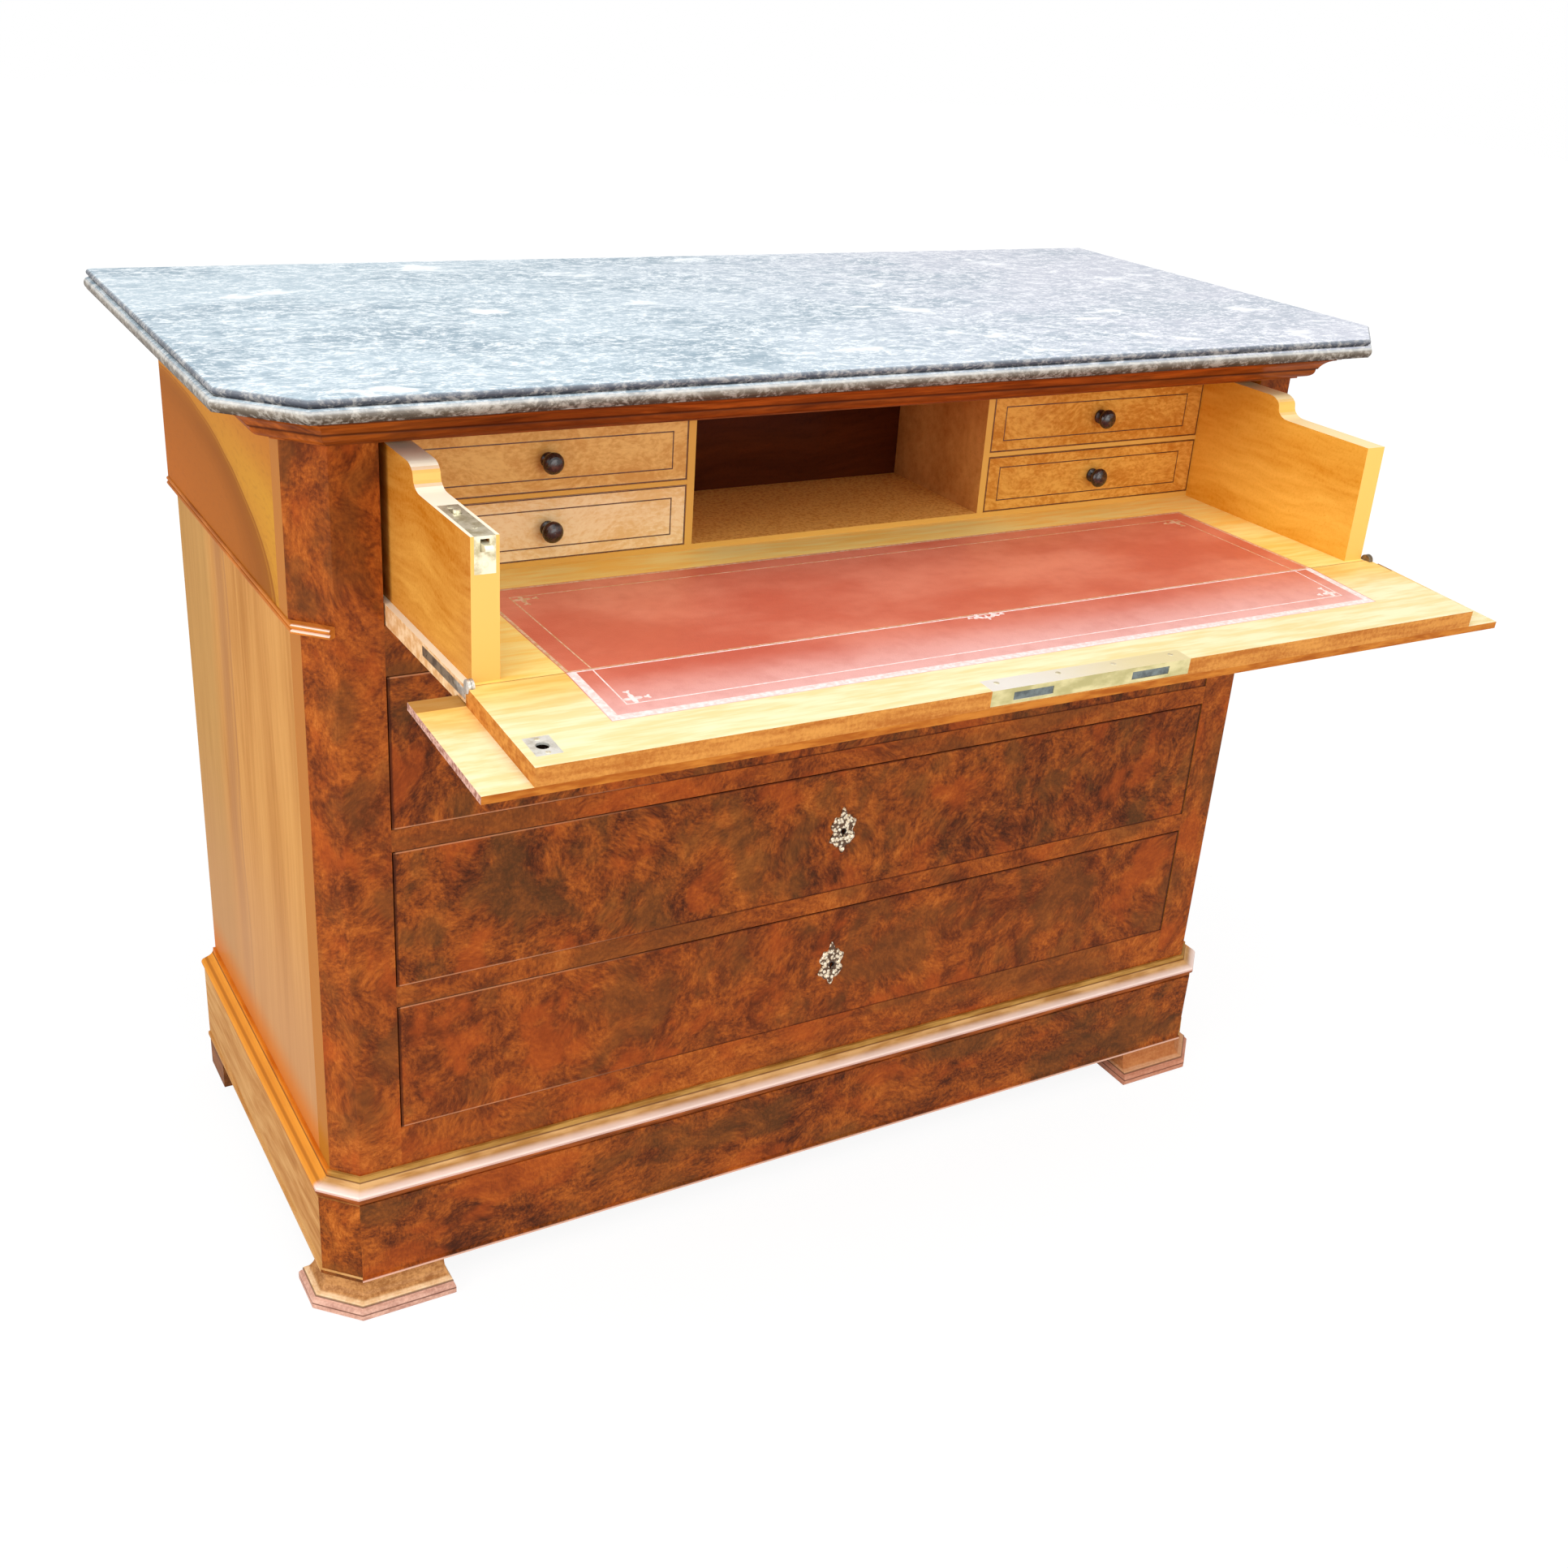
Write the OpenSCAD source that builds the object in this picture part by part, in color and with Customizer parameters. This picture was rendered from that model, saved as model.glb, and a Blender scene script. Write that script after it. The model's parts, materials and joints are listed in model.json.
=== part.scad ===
// Secretary chest: a marble-topped chest whose top drawer is a writing drawer.
// Millimetres, +Z up, floor at z = 0. It is drawn with the writing drawer pulled
// out and its fall let down. X runs along the front and +Y points to the back.

/* [Body] */
// Width of the body over its lower sides
body_w = 1144; // [1120:4:1180]
// Depth of the body from the front of the stiles to the back
body_d = 502; // [480:2:540]
// Width of the flat front face of a stile
stile_w = 44; // [36:1:50]
// How far the outer corner of a stile is cut back, in width and in depth
corner_cant = 24; // [18:1:30]
// Depth of a stile and of the rails, front to back
post_d = 60; // [52:1:70]
// How far the frieze stands out beyond the lower sides
frieze_out = 8; // [5:0.5:12]
// Thickness of the side boards
side_t = 20; // [16:1:24]
// Thickness of the back panel
back_t = 12; // [8:1:16]

/* [Heights] */
// Height of the feet
foot_h = 41; // [30:1:50]
// Height of the plinth boards
plinth_h = 97; // [80:1:120]
// Height of the moulding on the plinth
plinth_mould_h = 26; // [20:1:32]
// Height of the rail under the lower drawer
bottom_rail_h = 47; // [40:1:60]
// Height of the lower drawer's opening
lower_drawer_h = 144; // [130:1:170]
// Height of the middle drawer's opening
middle_drawer_h = 149; // [130:1:170]
// Height of the upper drawer's opening
upper_drawer_h = 155; // [130:1:175]
// Height of the rails between the long drawers
rail_h = 23; // [20:1:30]
// Height of the rail under the writing drawer
secretary_rail_h = 48; // [40:1:60]
// Height of the writing drawer's opening
secretary_h = 167; // [164:1:180]
// Height of the cornice
cornice_h = 36; // [32:1:44]
// Height of the top rail, hidden behind the cornice
top_rail_h = 18; // [15:1:22]

/* [Marble] */
// Thickness of the marble slab
marble_t = 20; // [18:1:25]
// Overhang of the slab past the frieze at each side
marble_over_side = 65; // [58:1:72]
// Overhang of the slab in front of the stiles
marble_over_front = 77; // [68:1:84]
// Overhang of the slab behind the back
marble_over_back = 8; // [4:1:12]
// Size of the slab's cut front corners
marble_cant = 62; // [50:1:70]

/* [Cornice and plinth] */
// How far the cornice stands out from the frieze
cornice_out = 50; // [42:1:56]
// How far the plinth boards stand out from the body
plinth_out = 15; // [8:0.5:18]
// Thickness of the plinth boards
plinth_t = 22; // [18:1:26]
// Height of the double bead under the frieze
bead_h = 10; // [8:0.5:14]
// How far the bead stands out beyond the frieze
bead_out = 2; // [1:0.5:4]
// Width of a front foot along the front
foot_w = 84; // [70:1:100]
// Depth of a front foot along the side
foot_d = 62; // [54:1:80]
// How far a front foot flares out below the plinth
foot_flare = 12; // [8:1:18]

/* [Writing drawer] */
// How far the writing drawer is pulled out
pull = 217; // [180:1:230]
// Thickness of the bed
bed_t = 20; // [18:1:24]
// Thickness of the drawer's sides
secretary_side_t = 24; // [20:1:28]
// How far the sides stand back from the hinge line
side_set = 5; // [3:0.5:8]
// Height of the sides' low front part above the bed
side_low_h = 121; // [110:1:126]
// Height of the sides' back part above the bed
side_high_h = 142; // [139:1:143]
// Length of the sides' low front part
side_low_len = 116; // [104:1:130]
// Length of the curve between the low and the high part
side_curve_len = 32; // [26:1:50]
// Depth at which the nest of drawers starts, behind the hinge line
nest_set = 256; // [240:1:280]
// Depth of the nest of drawers
nest_d = 165; // [140:1:170]
// Height of the nest above the bed
nest_h = 137; // [120:1:138]
// Width of the pigeonhole between the partitions
pigeonhole_w = 346; // [320:2:400]
// Thickness of the nest's partitions
partition_t = 8; // [7:0.5:12]
// Thickness of the nest's top board and shelves
shelf_t = 4.5; // [4:0.5:7]
// Thickness of the nest's floor
nest_floor_t = 5.5; // [5:0.5:9]
// Width of the leather panel
leather_w = 836; // [780:4:880]
// Length of leather on the bed, back from the hinge line
leather_bed_len = 206; // [180:2:230]
// Length of leather on the fall, forward from the hinge line
leather_fall_len = 92; // [70:1:105]
// Thickness of the leather
leather_t = 1.2; // [0.8:0.1:1.6]

/* [Fall front] */
// Thickness of the fall's core board
core_t = 16; // [15:0.5:20]
// Thickness of the fall's veneered face board
face_t = 7; // [6:0.5:9]
// How far the open fall hangs below level, in degrees
fall_droop = 3.5; // [0:0.5:5]
// How far the face board covers each stile
wing_w = 40; // [30:1:43]
// Thickness of the hinge straps
strap_t = 2.5; // [2:0.25:3]
// Radius of the eyes of the hinge straps
eye_r = 6; // [5:0.5:7]
// Radius of the hinge pins
hinge_pin_r = 2; // [1.5:0.25:2.5]
// Length of the strap on the bed
bed_strap_len = 104; // [80:2:130]
// Length of the strap on the fall
fall_strap_len = 60; // [40:2:90]
// Width of the lock's plates in the fall
fall_lock_w = 220; // [180:4:240]
// Place of the fall's lock to the right of the middle
fall_lock_x = 20; // [0:1:30]
// Depth of the lock's plate on the fall's inner face
fall_lock_h = 20; // [19:1:26]

/* [Long drawers] */
// Thickness of the drawer fronts
front_t = 22; // [20:1:26]
// Thickness of the long drawers' sides and backs
box_t = 13; // [10:1:16]
// Thickness of the long drawers' bottoms
box_bottom_t = 8; // [6:1:10]
// Drop of the long drawers' sides below the top of their fronts
box_drop = 16; // [12:1:24]
// Length of the dovetails in the drawer fronts
tail_len = 14; // [10:1:16]
// Dovetails in each corner of a long drawer
tail_count = 4; // [3:1:5]

/* [Locks] */
// Width of a drawer lock's case
lock_w = 70; // [60:1:80]
// Depth of a drawer lock's case
lock_t = 10; // [9:0.5:12]
// Width of a lock bolt
bolt_w = 22; // [16:1:28]
// Thickness of a lock bolt
bolt_t = 5; // [4:0.5:6]
// Throw of the lock bolts
bolt_throw = 8; // [6:0.5:9]
// Height of an escutcheon
escutcheon_h = 52; // [44:1:60]
// Width of an escutcheon
escutcheon_w = 34; // [28:1:40]
// Thickness of an escutcheon
escutcheon_t = 1.6; // [1:0.2:2.4]

/* [Nest drawers] */
// Thickness of the small drawers' fronts
small_front_t = 9; // [7:0.5:12]
// Thickness of the small drawers' sides and backs
small_t = 5; // [4:0.5:7]
// Thickness of the small drawers' bottoms
small_bottom_t = 3; // [2.5:0.25:4]
// Diameter of the turned knobs
knob_d = 21; // [16:1:26]
// How far the knobs stand out
knob_len = 19; // [15:1:24]

/* [Fits] */
// Gap around a long drawer's front
front_gap = 1.2; // [0.8:0.1:2]
// Gap under a sliding drawer
slide_gap = 0.4; // [0.3:0.1:0.8]
// Gap between the writing drawer's sides and the stiles
secretary_gap = 8; // [6:0.5:10]
// Gap between the bed and the stiles, and between the fall's core and the stiles
bed_gap = 1.5; // [1:0.1:2.5]
// Gap around a small drawer
small_gap = 0.6; // [0.4:0.1:1]
// Gap between the closed fall and the stiles
wing_gap = 0.5; // [0.4:0.1:1]
// Gap between the two halves of the writing surface
joint_gap = 0.6; // [0.4:0.1:1]
// Gap between the closed fall and the cornice
fall_top_gap = 4; // [2:0.1:5]
// Gap around a sliding bolt
bolt_gap = 0.3; // [0.2:0.05:0.5]
// Glue line between two boards that are joined
glue = 0.05; // [0.03:0.01:0.1]

/* [Hidden] */
$fn = 48;

// Tangent of the half angle at which the canted mouldings meet
mitre = tan(22.5);

// Levels, from the floor up
z_plinth = foot_h;
z_mould = z_plinth + plinth_h;
z_rail = z_mould + plinth_mould_h;
z_lower = z_rail + bottom_rail_h;
z_middle = z_lower + lower_drawer_h + rail_h;
z_upper = z_middle + middle_drawer_h + rail_h;
z_upper_top = z_upper + upper_drawer_h;
z_sec = z_upper_top + secretary_rail_h;
z_frieze = z_sec + bead_h / 2;
z_sec_top = z_sec + secretary_h;
z_top_board = z_sec_top + top_rail_h;
z_marble = z_sec_top + cornice_h;

// Long drawers, from the top down: level of the opening and its height
long_z = [z_upper, z_middle, z_lower];
long_h = [upper_drawer_h, middle_drawer_h, lower_drawer_h];

// Half widths of the front
half_body = body_w / 2;
half_stile = half_body - corner_cant;
half_open = half_stile - stile_w;
half_frieze = half_body + frieze_out;
half_inside = half_body - side_t;
half_marble = half_frieze + marble_over_side;
frieze_cant = corner_cant + frieze_out;

// Writing drawer, in the place that it has when it is shut
half_bed = half_open - bed_gap;
half_side = half_open - secretary_gap;
half_nest = half_side - secretary_side_t;
half_face = half_open + wing_w;
bed_z = z_sec + slide_gap;
hinge_y = core_t;
hinge_z = bed_z + bed_t;
fall_top_z = z_sec_top - fall_top_gap;
face_z = z_sec + slide_gap + wing_gap;
core_front_y = -wing_gap;
side_front_y = hinge_y + side_set;
nest_y = hinge_y + nest_set;
nest_back_y = nest_y + nest_d;
secretary_back_t = 12;
secretary_end_y = nest_back_y + secretary_back_t;
nest_top_z = hinge_z + nest_h;
nest_mid_z = hinge_z + nest_floor_t + (nest_h - nest_floor_t - shelf_t) / 2;
half_pigeonhole = pigeonhole_w / 2;
drawer_bay_x = half_pigeonhole + partition_t;
bay_floor = [nest_mid_z + shelf_t / 2, hinge_z + nest_floor_t];
bay_roof = [nest_top_z - shelf_t, nest_mid_z - shelf_t / 2];

// Eye of the fall's strap, beside the eye of the bed's strap
fall_eye_x = half_bed - 2 * strap_t - 0.4;

// Lip of the face board below the hinge line. It swings under the bed, which is
// rebated for it and bevelled where the core comes up to it
lip = hinge_z - face_z;
lip_depth = hinge_y - core_front_y;
rebate_roof = lip_depth * cos(fall_droop) - lip * sin(fall_droop) - joint_gap;
rebate_len = lip_depth * sin(fall_droop) + lip * cos(fall_droop) + 2 * joint_gap;

// The whole chest is centred front to back on the depth that it takes when open
fall_reach = pull - hinge_y + (fall_top_z - hinge_z) * cos(fall_droop);
front_y = (fall_reach - body_d - marble_over_back) / 2;

// Catch on the left side of the writing drawer
catch_z = hinge_z + side_low_h - 9;
catch_x = half_side - secretary_side_t / 2;
catch_bar = 7;
catch_bite = 5;
catch_reach = side_set + catch_bite;
catch_len = 84;
catch_button_y = 62;
catch_plate_t = 2.5;
catch_plate_w = 18;
catch_drop = 31;
catch_hole_top = hinge_z + side_low_h - catch_plate_t;
catch_travel = 6;
catch_button_r = 3.2;
strike_w = 22;
strike_h = 30;
strike_t = 2;

// Back board of the long drawers
long_back_y = body_d - back_t - 20 - box_t;

// Bolts of the fall's lock
fall_bolt_spread = 65;
fall_bolt_w = 42;
fall_bolt_t = 7;
fall_bolt_y = core_t / 2 - fall_bolt_t / 2;
fall_bar_h = 8;
fall_plate_t = 2;
fall_key_drop = 34;

// Wood left below a groove, and the depth of a groove
groove_rise = 9;
groove_d = 5;

function arc(cx, cz, rx, rz, a0, a1, n) =
    [for (i = [0:n]) [cx + rx * cos(a0 + (a1 - a0) * i / n), cz + rz * sin(a0 + (a1 - a0) * i / n)]];

// Cross-sections of the mouldings as [outwards, up]
cornice_profile = let (s = cornice_out / 50, t = cornice_h / 36) [
    for (p = concat(
        [[0, 0], [7, 0], [7, 3]],
        arc(9, 12, 16, 9, -90, 0, 6),
        [[25, 14]],
        arc(55.2, 6.5, 30, 21.8, 160, 110, 6),
        [[45, 29], [50, 29], [50, 36], [0, 36]]
    )) [p[0] * s, p[1] * t]];
plinth_profile = let (s = plinth_out / 15, t = plinth_mould_h / 26) [
    for (p = concat(
        [[0, 0], [13, 0], [13, 4]],
        arc(13, 9, 5, 5, -90, 50, 6),
        arc(13, 24, 10, 9, 250, 180, 5),
        [[3, 26], [0, 26]]
    )) [p[0] * s, p[1] * t]];
bead_profile = let (w = frieze_out + bead_out, r = bead_h / 4) concat(
    [[0, 0]],
    arc(w - r, r, r, r * 0.9, -90, 80, 5),
    arc(w - r, 3 * r, r, r * 0.9, -80, 90, 5),
    [[0, 4 * r]]);
foot_profile = let (f = foot_flare, h = foot_h) concat(
    [[f, 0], [f + 2, 0.05 * h], [f + 2, 0.24 * h], [f, 0.3 * h], [f - 2, 0.32 * h], [f - 2, 0.38 * h]],
    arc(f - 4, 0.95 * h, f, 0.53 * h, 270, 180, 7),
    [[-4, h]]);
marble_profile = let (t = marble_t / 20) concat(
    [[2.4, 0]],
    arc(5, 6 * t, 5, 6 * t, -125, -235, 8),
    [[5.4, 12 * t], [5.4, 13 * t]],
    arc(7.5, 16.4 * t, 4.5, 3.6 * t, -140, -270, 8));

plinth_section = [
    [-plinth_t + plinth_out, plinth_h], [-plinth_t + plinth_out, 0], [plinth_out + 2, 0],
    [plinth_out + 2, 4], [plinth_out, 5], [plinth_out, plinth_h]];

module block(a, b) {
    translate(a) cube(b - a);
}

module both_sides() {
    children();
    mirror([1, 0, 0]) children();
}

module at_body() {
    translate([0, front_y, 0]) children();
}

module at_secretary() {
    at_body() translate([0, -pull, 0]) children();
}

// Turns a piece of the shut fall down about the hinge line
module at_fall() {
    at_secretary() translate([0, hinge_y, hinge_z]) rotate([90 + fall_droop, 0, 0])
        translate([0, -hinge_y, -hinge_z]) children();
}

// Extrudes a section given as [y, z] along X
module along_x(section, x0, x1) {
    translate([x0, 0, 0]) rotate([90, 0, 90]) linear_extrude(x1 - x0) polygon(section);
}

// Extrudes a section given as [x, z] along Y
module along_y(section, y0, y1) {
    translate([0, y1, 0]) rotate([90, 0, 0]) linear_extrude(y1 - y0) polygon(section);
}

// A run of moulding from x = 0 to len, facing -Y, with each end cut to its mitre,
// half a glue line short of the next run
module run(profile, len, z, m0, m1, reach = 60, inner = 0) {
    section = [for (p = profile) [-p[0], p[1] + z]];
    intersection() {
        along_x(section, -reach, len + reach);
        linear_extrude(z_marble + marble_t) polygon([
            [m0 * inner + glue / 2, inner], [len - m1 * inner - glue / 2, inner],
            [len + m1 * reach - glue / 2, -reach], [-m0 * reach + glue / 2, -reach]]);
    }
}

// The same run placed on the front, on the right cant and on the right side
module front_run(profile, z, inner = 0) {
    translate([-half_stile, 0, 0]) run(profile, 2 * half_stile, z, mitre, mitre, inner = inner);
}

module cant_run(profile, cant, z, inner = 0, front_mitre = mitre) {
    translate([half_stile, 0, 0]) rotate([0, 0, 45])
        run(profile, cant * sqrt(2), z, front_mitre, mitre, inner = inner);
}

module side_run(profile, cant, z, inner = 0) {
    translate([half_stile + cant, cant, 0]) rotate([0, 0, 90])
        run(profile, body_d - cant, z, mitre, 0, inner = inner);
}

// Dovetails along Z, pointing to +Y, on a board of height h and thickness t.
// With grow they are the sockets that the tails fit
module tails(h, len, t, n, grow = 0) {
    pitch = h / n;
    neck = pitch * 0.26 + grow;
    wide = neck + len / 6;
    for (i = [0:n - 1])
        translate([0, 0, pitch * (i + 0.5)])
            along_x([
                [0, -neck], [len + grow, -wide], [len + grow, wide], [0, neck]], -grow, t + grow);
}

// Marble slab: each edge's moulding cuts the whole slab, so the corners mitre
module marble_top() {
    front = marble_over_front;
    back = body_d + marble_over_back;
    far = 2 * half_marble;
    side = concat(
        [for (p = marble_profile) [half_marble - p[0], p[1]]],
        [for (i = [len(marble_profile) - 1:-1:0]) [-half_marble + marble_profile[i][0], marble_profile[i][1]]]);
    fore = concat(
        [for (p = marble_profile) [-front + p[0], p[1]]],
        [[back, marble_t], [back, 0]]);
    cut = concat(
        [for (p = marble_profile) [p[0], p[1]]],
        [[far, marble_t], [far, 0]]);
    color("slategray") at_body() translate([0, 0, z_marble]) intersection() {
        along_y(side, -front, back);
        along_x(fore, -half_marble, half_marble);
        translate([half_marble - marble_cant / 2, -front + marble_cant / 2, 0]) rotate([0, 0, 45])
            along_x(cut, -far, far);
        translate([-half_marble + marble_cant / 2, -front + marble_cant / 2, 0]) rotate([0, 0, -45])
            along_x(cut, -far, far);
    }
}

module cornice_front() {
    color("saddlebrown") at_body() front_run(cornice_profile, z_sec_top);
}

module cornice_cants() {
    color("saddlebrown") at_body() both_sides() cant_run(cornice_profile, frieze_cant, z_sec_top);
}

module cornice_returns() {
    color("saddlebrown") at_body() both_sides() side_run(cornice_profile, frieze_cant, z_sec_top);
}

module top_board() {
    color("burlywood") at_body() translate([0, 0, z_top_board]) linear_extrude(z_marble - z_top_board)
        polygon([
            [-half_stile, 0], [half_stile, 0], [half_frieze, frieze_cant], [half_frieze, body_d],
            [-half_frieze, body_d], [-half_frieze, frieze_cant]]);
}

// Top rail, with mortises for the two bolts of the fall's lock
module top_rail() {
    color("burlywood") at_body() difference() {
        block([-half_open, 0, z_sec_top], [half_open, post_d, z_top_board]);
        for (side = [-1, 1])
            translate([fall_lock_x + side * fall_bolt_spread, 0, z_sec_top])
                block(
                    [-fall_bolt_w / 2 - 1, fall_bolt_y - 1, -1],
                    [fall_bolt_w / 2 + 1, fall_bolt_y + fall_bolt_t + 1, bolt_throw]);
    }
}

// Corner post: a small cant below the bead and a wide one beside the frieze
module stile() {
    color("sienna") at_body() {
        translate([0, 0, z_mould]) linear_extrude(z_frieze - z_mould) polygon([
            [half_open, 0], [half_stile, 0], [half_body, corner_cant], [half_body, post_d], [half_open, post_d]]);
        translate([0, 0, z_frieze]) linear_extrude(z_top_board - z_frieze) polygon([
            [half_open, 0], [half_stile, 0], [half_frieze, frieze_cant], [half_frieze, post_d],
            [half_open, post_d]]);
    }
}

module right_stile() {
    stile();
}

module left_stile() {
    mirror([1, 0, 0]) stile();
}

module side_board() {
    color("peru") at_body() block([half_inside, post_d, z_mould], [half_body, body_d, z_frieze]);
}

module right_side() {
    side_board();
}

module left_side() {
    mirror([1, 0, 0]) side_board();
}

module frieze_sides() {
    color("peru") at_body() both_sides()
        block([half_inside, post_d, z_frieze], [half_frieze, body_d, z_top_board]);
}

module frieze_beads() {
    color("goldenrod") at_body() both_sides() {
        cant_run(bead_profile, corner_cant, z_frieze - bead_h, front_mitre = 0);
        side_run(bead_profile, corner_cant, z_frieze - bead_h);
    }
}

// Pocket in the underside of a rail for the bolt of the drawer below it
module bolt_mortise(z) {
    block(
        [-bolt_w / 2 - 1, front_t - lock_t + 1, z - 1],
        [bolt_w / 2 + 1, front_t - lock_t + 4 + bolt_t, z + bolt_throw + 1]);
}

module secretary_rail() {
    color("sienna") at_body() difference() {
        block([-half_open, 0, z_upper_top], [half_open, post_d, z_sec]);
        bolt_mortise(z_upper_top);
    }
}

module drawer_rails() {
    color("sienna") at_body() {
        for (i = [1, 2])
            translate([0, 0, long_z[i] + long_h[i]]) difference() {
                block([-half_open, 0, 0], [half_open, post_d, rail_h]);
                bolt_mortise(0);
            }
        block([-half_open, 0, z_mould], [half_open, post_d, z_lower]);
    }
}

// Runners that the drawers rest on, each with the guide beside the drawer
module drawer_runners() {
    back_y = body_d - back_t - 2;
    color("burlywood") at_body() both_sides()
        for (z = [z_lower, z_middle, z_upper, z_sec])
            along_y([
                [half_open - 36, z - rail_h + 3], [half_inside, z - rail_h + 3], [half_inside, z + 18],
                [half_open, z + 18], [half_open, z], [half_open - 36, z]], post_d, back_y);
}

module back_panel() {
    color("burlywood") at_body()
        block([-half_inside, body_d - back_t - 2, z_mould], [half_inside, body_d - 2, z_top_board]);
}

module bottom_board() {
    color("burlywood") at_body()
        block([-half_inside, post_d, z_mould], [half_inside, body_d - back_t - 2, z_mould + 14]);
}

// Plinth boards, with a thin fillet along their lower edge

module plinth_front() {
    color("sienna") at_body() front_run(plinth_section, z_plinth, inner = plinth_t);
}

module plinth_returns() {
    color("peru") at_body() both_sides() {
        cant_run(plinth_section, corner_cant, z_plinth, inner = plinth_t);
        side_run(plinth_section, corner_cant, z_plinth, inner = plinth_t);
    }
}

module plinth_moulding() {
    color("chocolate") at_body() {
        front_run(plinth_profile, z_mould);
        both_sides() {
            cant_run(plinth_profile, corner_cant, z_mould);
            side_run(plinth_profile, corner_cant, z_mould);
        }
    }
}

// Front feet: the flare runs round the front, the cant, the side and the inner end
module front_feet() {
    outer = half_body + plinth_out;
    inner = half_stile - foot_w;
    last = len(foot_profile) - 1;
    over = [for (p = foot_profile) [outer + p[0], p[1]]];
    under = [for (i = [last:-1:0]) [inner - foot_profile[i][0] * 0.4, foot_profile[i][1]]];
    fore = concat(
        [for (p = foot_profile) [-plinth_out - p[0], p[1]]],
        [for (i = [last:-1:0]) [foot_d + (foot_profile[i][0] - foot_flare) * 0.4, foot_profile[i][1]]]);
    cut = concat(
        [for (p = foot_profile) [-plinth_out - p[0], p[1]]],
        [[2 * foot_w, foot_h], [2 * foot_w, 0]]);
    color("sienna") at_body() both_sides() intersection() {
        along_y(concat(over, under), -2 * foot_w, foot_d + foot_w);
        along_x(fore, 0, outer + foot_w);
        translate([half_stile, 0, 0]) rotate([0, 0, 45]) along_x(cut, -3 * foot_w, 3 * foot_w);
    }
}

module rear_feet() {
    color("peru") at_body() both_sides()
        block(
            [half_body + plinth_out - foot_w, body_d - foot_d, 0],
            [half_body + plinth_out, body_d, foot_h]);
}

// Bed of the writing drawer: grooved for the leather and cut for the hinge eyes
module writing_bed() {
    front = hinge_y + joint_gap / 2;
    color("orange") at_secretary() difference() {
        along_x([
            [front, hinge_z], [front + rebate_roof * tan(fall_droop), hinge_z - rebate_roof],
            [hinge_y + rebate_len, hinge_z - rebate_roof], [hinge_y + rebate_len, bed_z],
            [secretary_end_y, bed_z], [secretary_end_y, hinge_z]], -half_bed, half_bed);
        leather_bed_block(0);
        both_sides() {
            bed_strap();
            eye_clearance();
        }
    }
}

module leather_bed_block(down) {
    block(
        [-leather_w / 2, hinge_y + joint_gap / 2 - (down > 0 ? 0 : 1), hinge_z - leather_t],
        [leather_w / 2, hinge_y + leather_bed_len, hinge_z - down + (down > 0 ? 0 : 1)]);
}

module bed_leather() {
    color("firebrick") at_secretary() leather_bed_block(0.1);
}

module eye_clearance() {
    translate([fall_eye_x - 0.6, hinge_y, hinge_z]) rotate([0, 90, 0])
        cylinder(r = eye_r + 0.4, h = 3 * strap_t + 3);
}

// Hinge strap let into the edge of the bed
module bed_strap() {
    block(
        [half_bed - strap_t, hinge_y + 1.5, hinge_z - 12],
        [half_bed, hinge_y + bed_strap_len, hinge_z - 3]);
}

module bed_hinge_straps() {
    color("dimgray") at_secretary() both_sides() {
        bed_strap();
        translate([half_bed - strap_t, hinge_y, hinge_z]) rotate([0, 90, 0]) cylinder(r = eye_r, h = strap_t);
        translate([fall_eye_x, hinge_y, hinge_z]) rotate([0, 90, 0])
            cylinder(r = hinge_pin_r, h = half_bed - fall_eye_x);
    }
}

// Side of the writing drawer, with its top edge swept down in a hollow and a round
function side_outline() = let (
    y0 = side_front_y,
    y1 = side_front_y + side_low_len,
    y2 = y1 + side_curve_len,
    z1 = hinge_z + side_low_h,
    z2 = hinge_z + side_high_h,
    rise = (z2 - z1) / 2,
    step = side_curve_len / 2
) concat(
    [[y0, hinge_z], [y0, z1]],
    arc(y1, z1 + rise, step, rise, -90, 0, 6),
    arc(y2, z2 - rise, step, rise, 180, 90, 6),
    [[secretary_end_y, z2], [secretary_end_y, hinge_z]]);

module secretary_side() {
    along_x(side_outline(), half_nest, half_side);
}

module secretary_right_side() {
    color("orange") at_secretary() secretary_side();
}

// The left side also holds the sprung catch
module secretary_left_side() {
    color("orange") at_secretary() mirror([1, 0, 0]) difference() {
        secretary_side();
        catch_plate_shape(0.5);
        translate([catch_x, side_front_y, 0]) {
            block(
                [-catch_bar / 2 - bolt_gap, -1, catch_z - catch_bar / 2 - bolt_gap],
                [catch_bar / 2 + bolt_gap, catch_len + catch_travel + 1, catch_hole_top]);
            block(
                [-catch_button_r - 0.6, catch_button_y - catch_button_r - 1, catch_z],
                [catch_button_r + 0.6, catch_button_y + catch_button_r + catch_travel + 1, catch_z + 40]);
        }
    }
}

// Angle plate of the catch: along the top edge and down the front edge of the side
module catch_plate_shape(over) {
    top = hinge_z + side_low_h;
    translate([catch_x, side_front_y, top]) {
        block(
            [-catch_plate_w / 2, -over, -catch_plate_t],
            [catch_plate_w / 2, catch_len, over]);
        block(
            [-catch_plate_w / 2, -over, -catch_drop],
            [catch_plate_w / 2, catch_plate_t, -catch_plate_t]);
    }
}

module catch_plate() {
    top = hinge_z + side_low_h;
    color("gold") at_secretary() mirror([1, 0, 0]) difference() {
        catch_plate_shape(0);
        translate([catch_x, side_front_y, 0]) {
            block(
                [-catch_bar / 2 - bolt_gap, -1, catch_z - catch_bar / 2 - bolt_gap],
                [catch_bar / 2 + bolt_gap, catch_plate_t + 1, catch_hole_top]);
            block(
                [-catch_button_r - 0.4, catch_button_y - catch_button_r - 0.4, top - catch_plate_t - 1],
                [catch_button_r + 0.4, catch_button_y + catch_button_r + catch_travel + 0.4, top + 1]);
        }
    }
}

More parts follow.
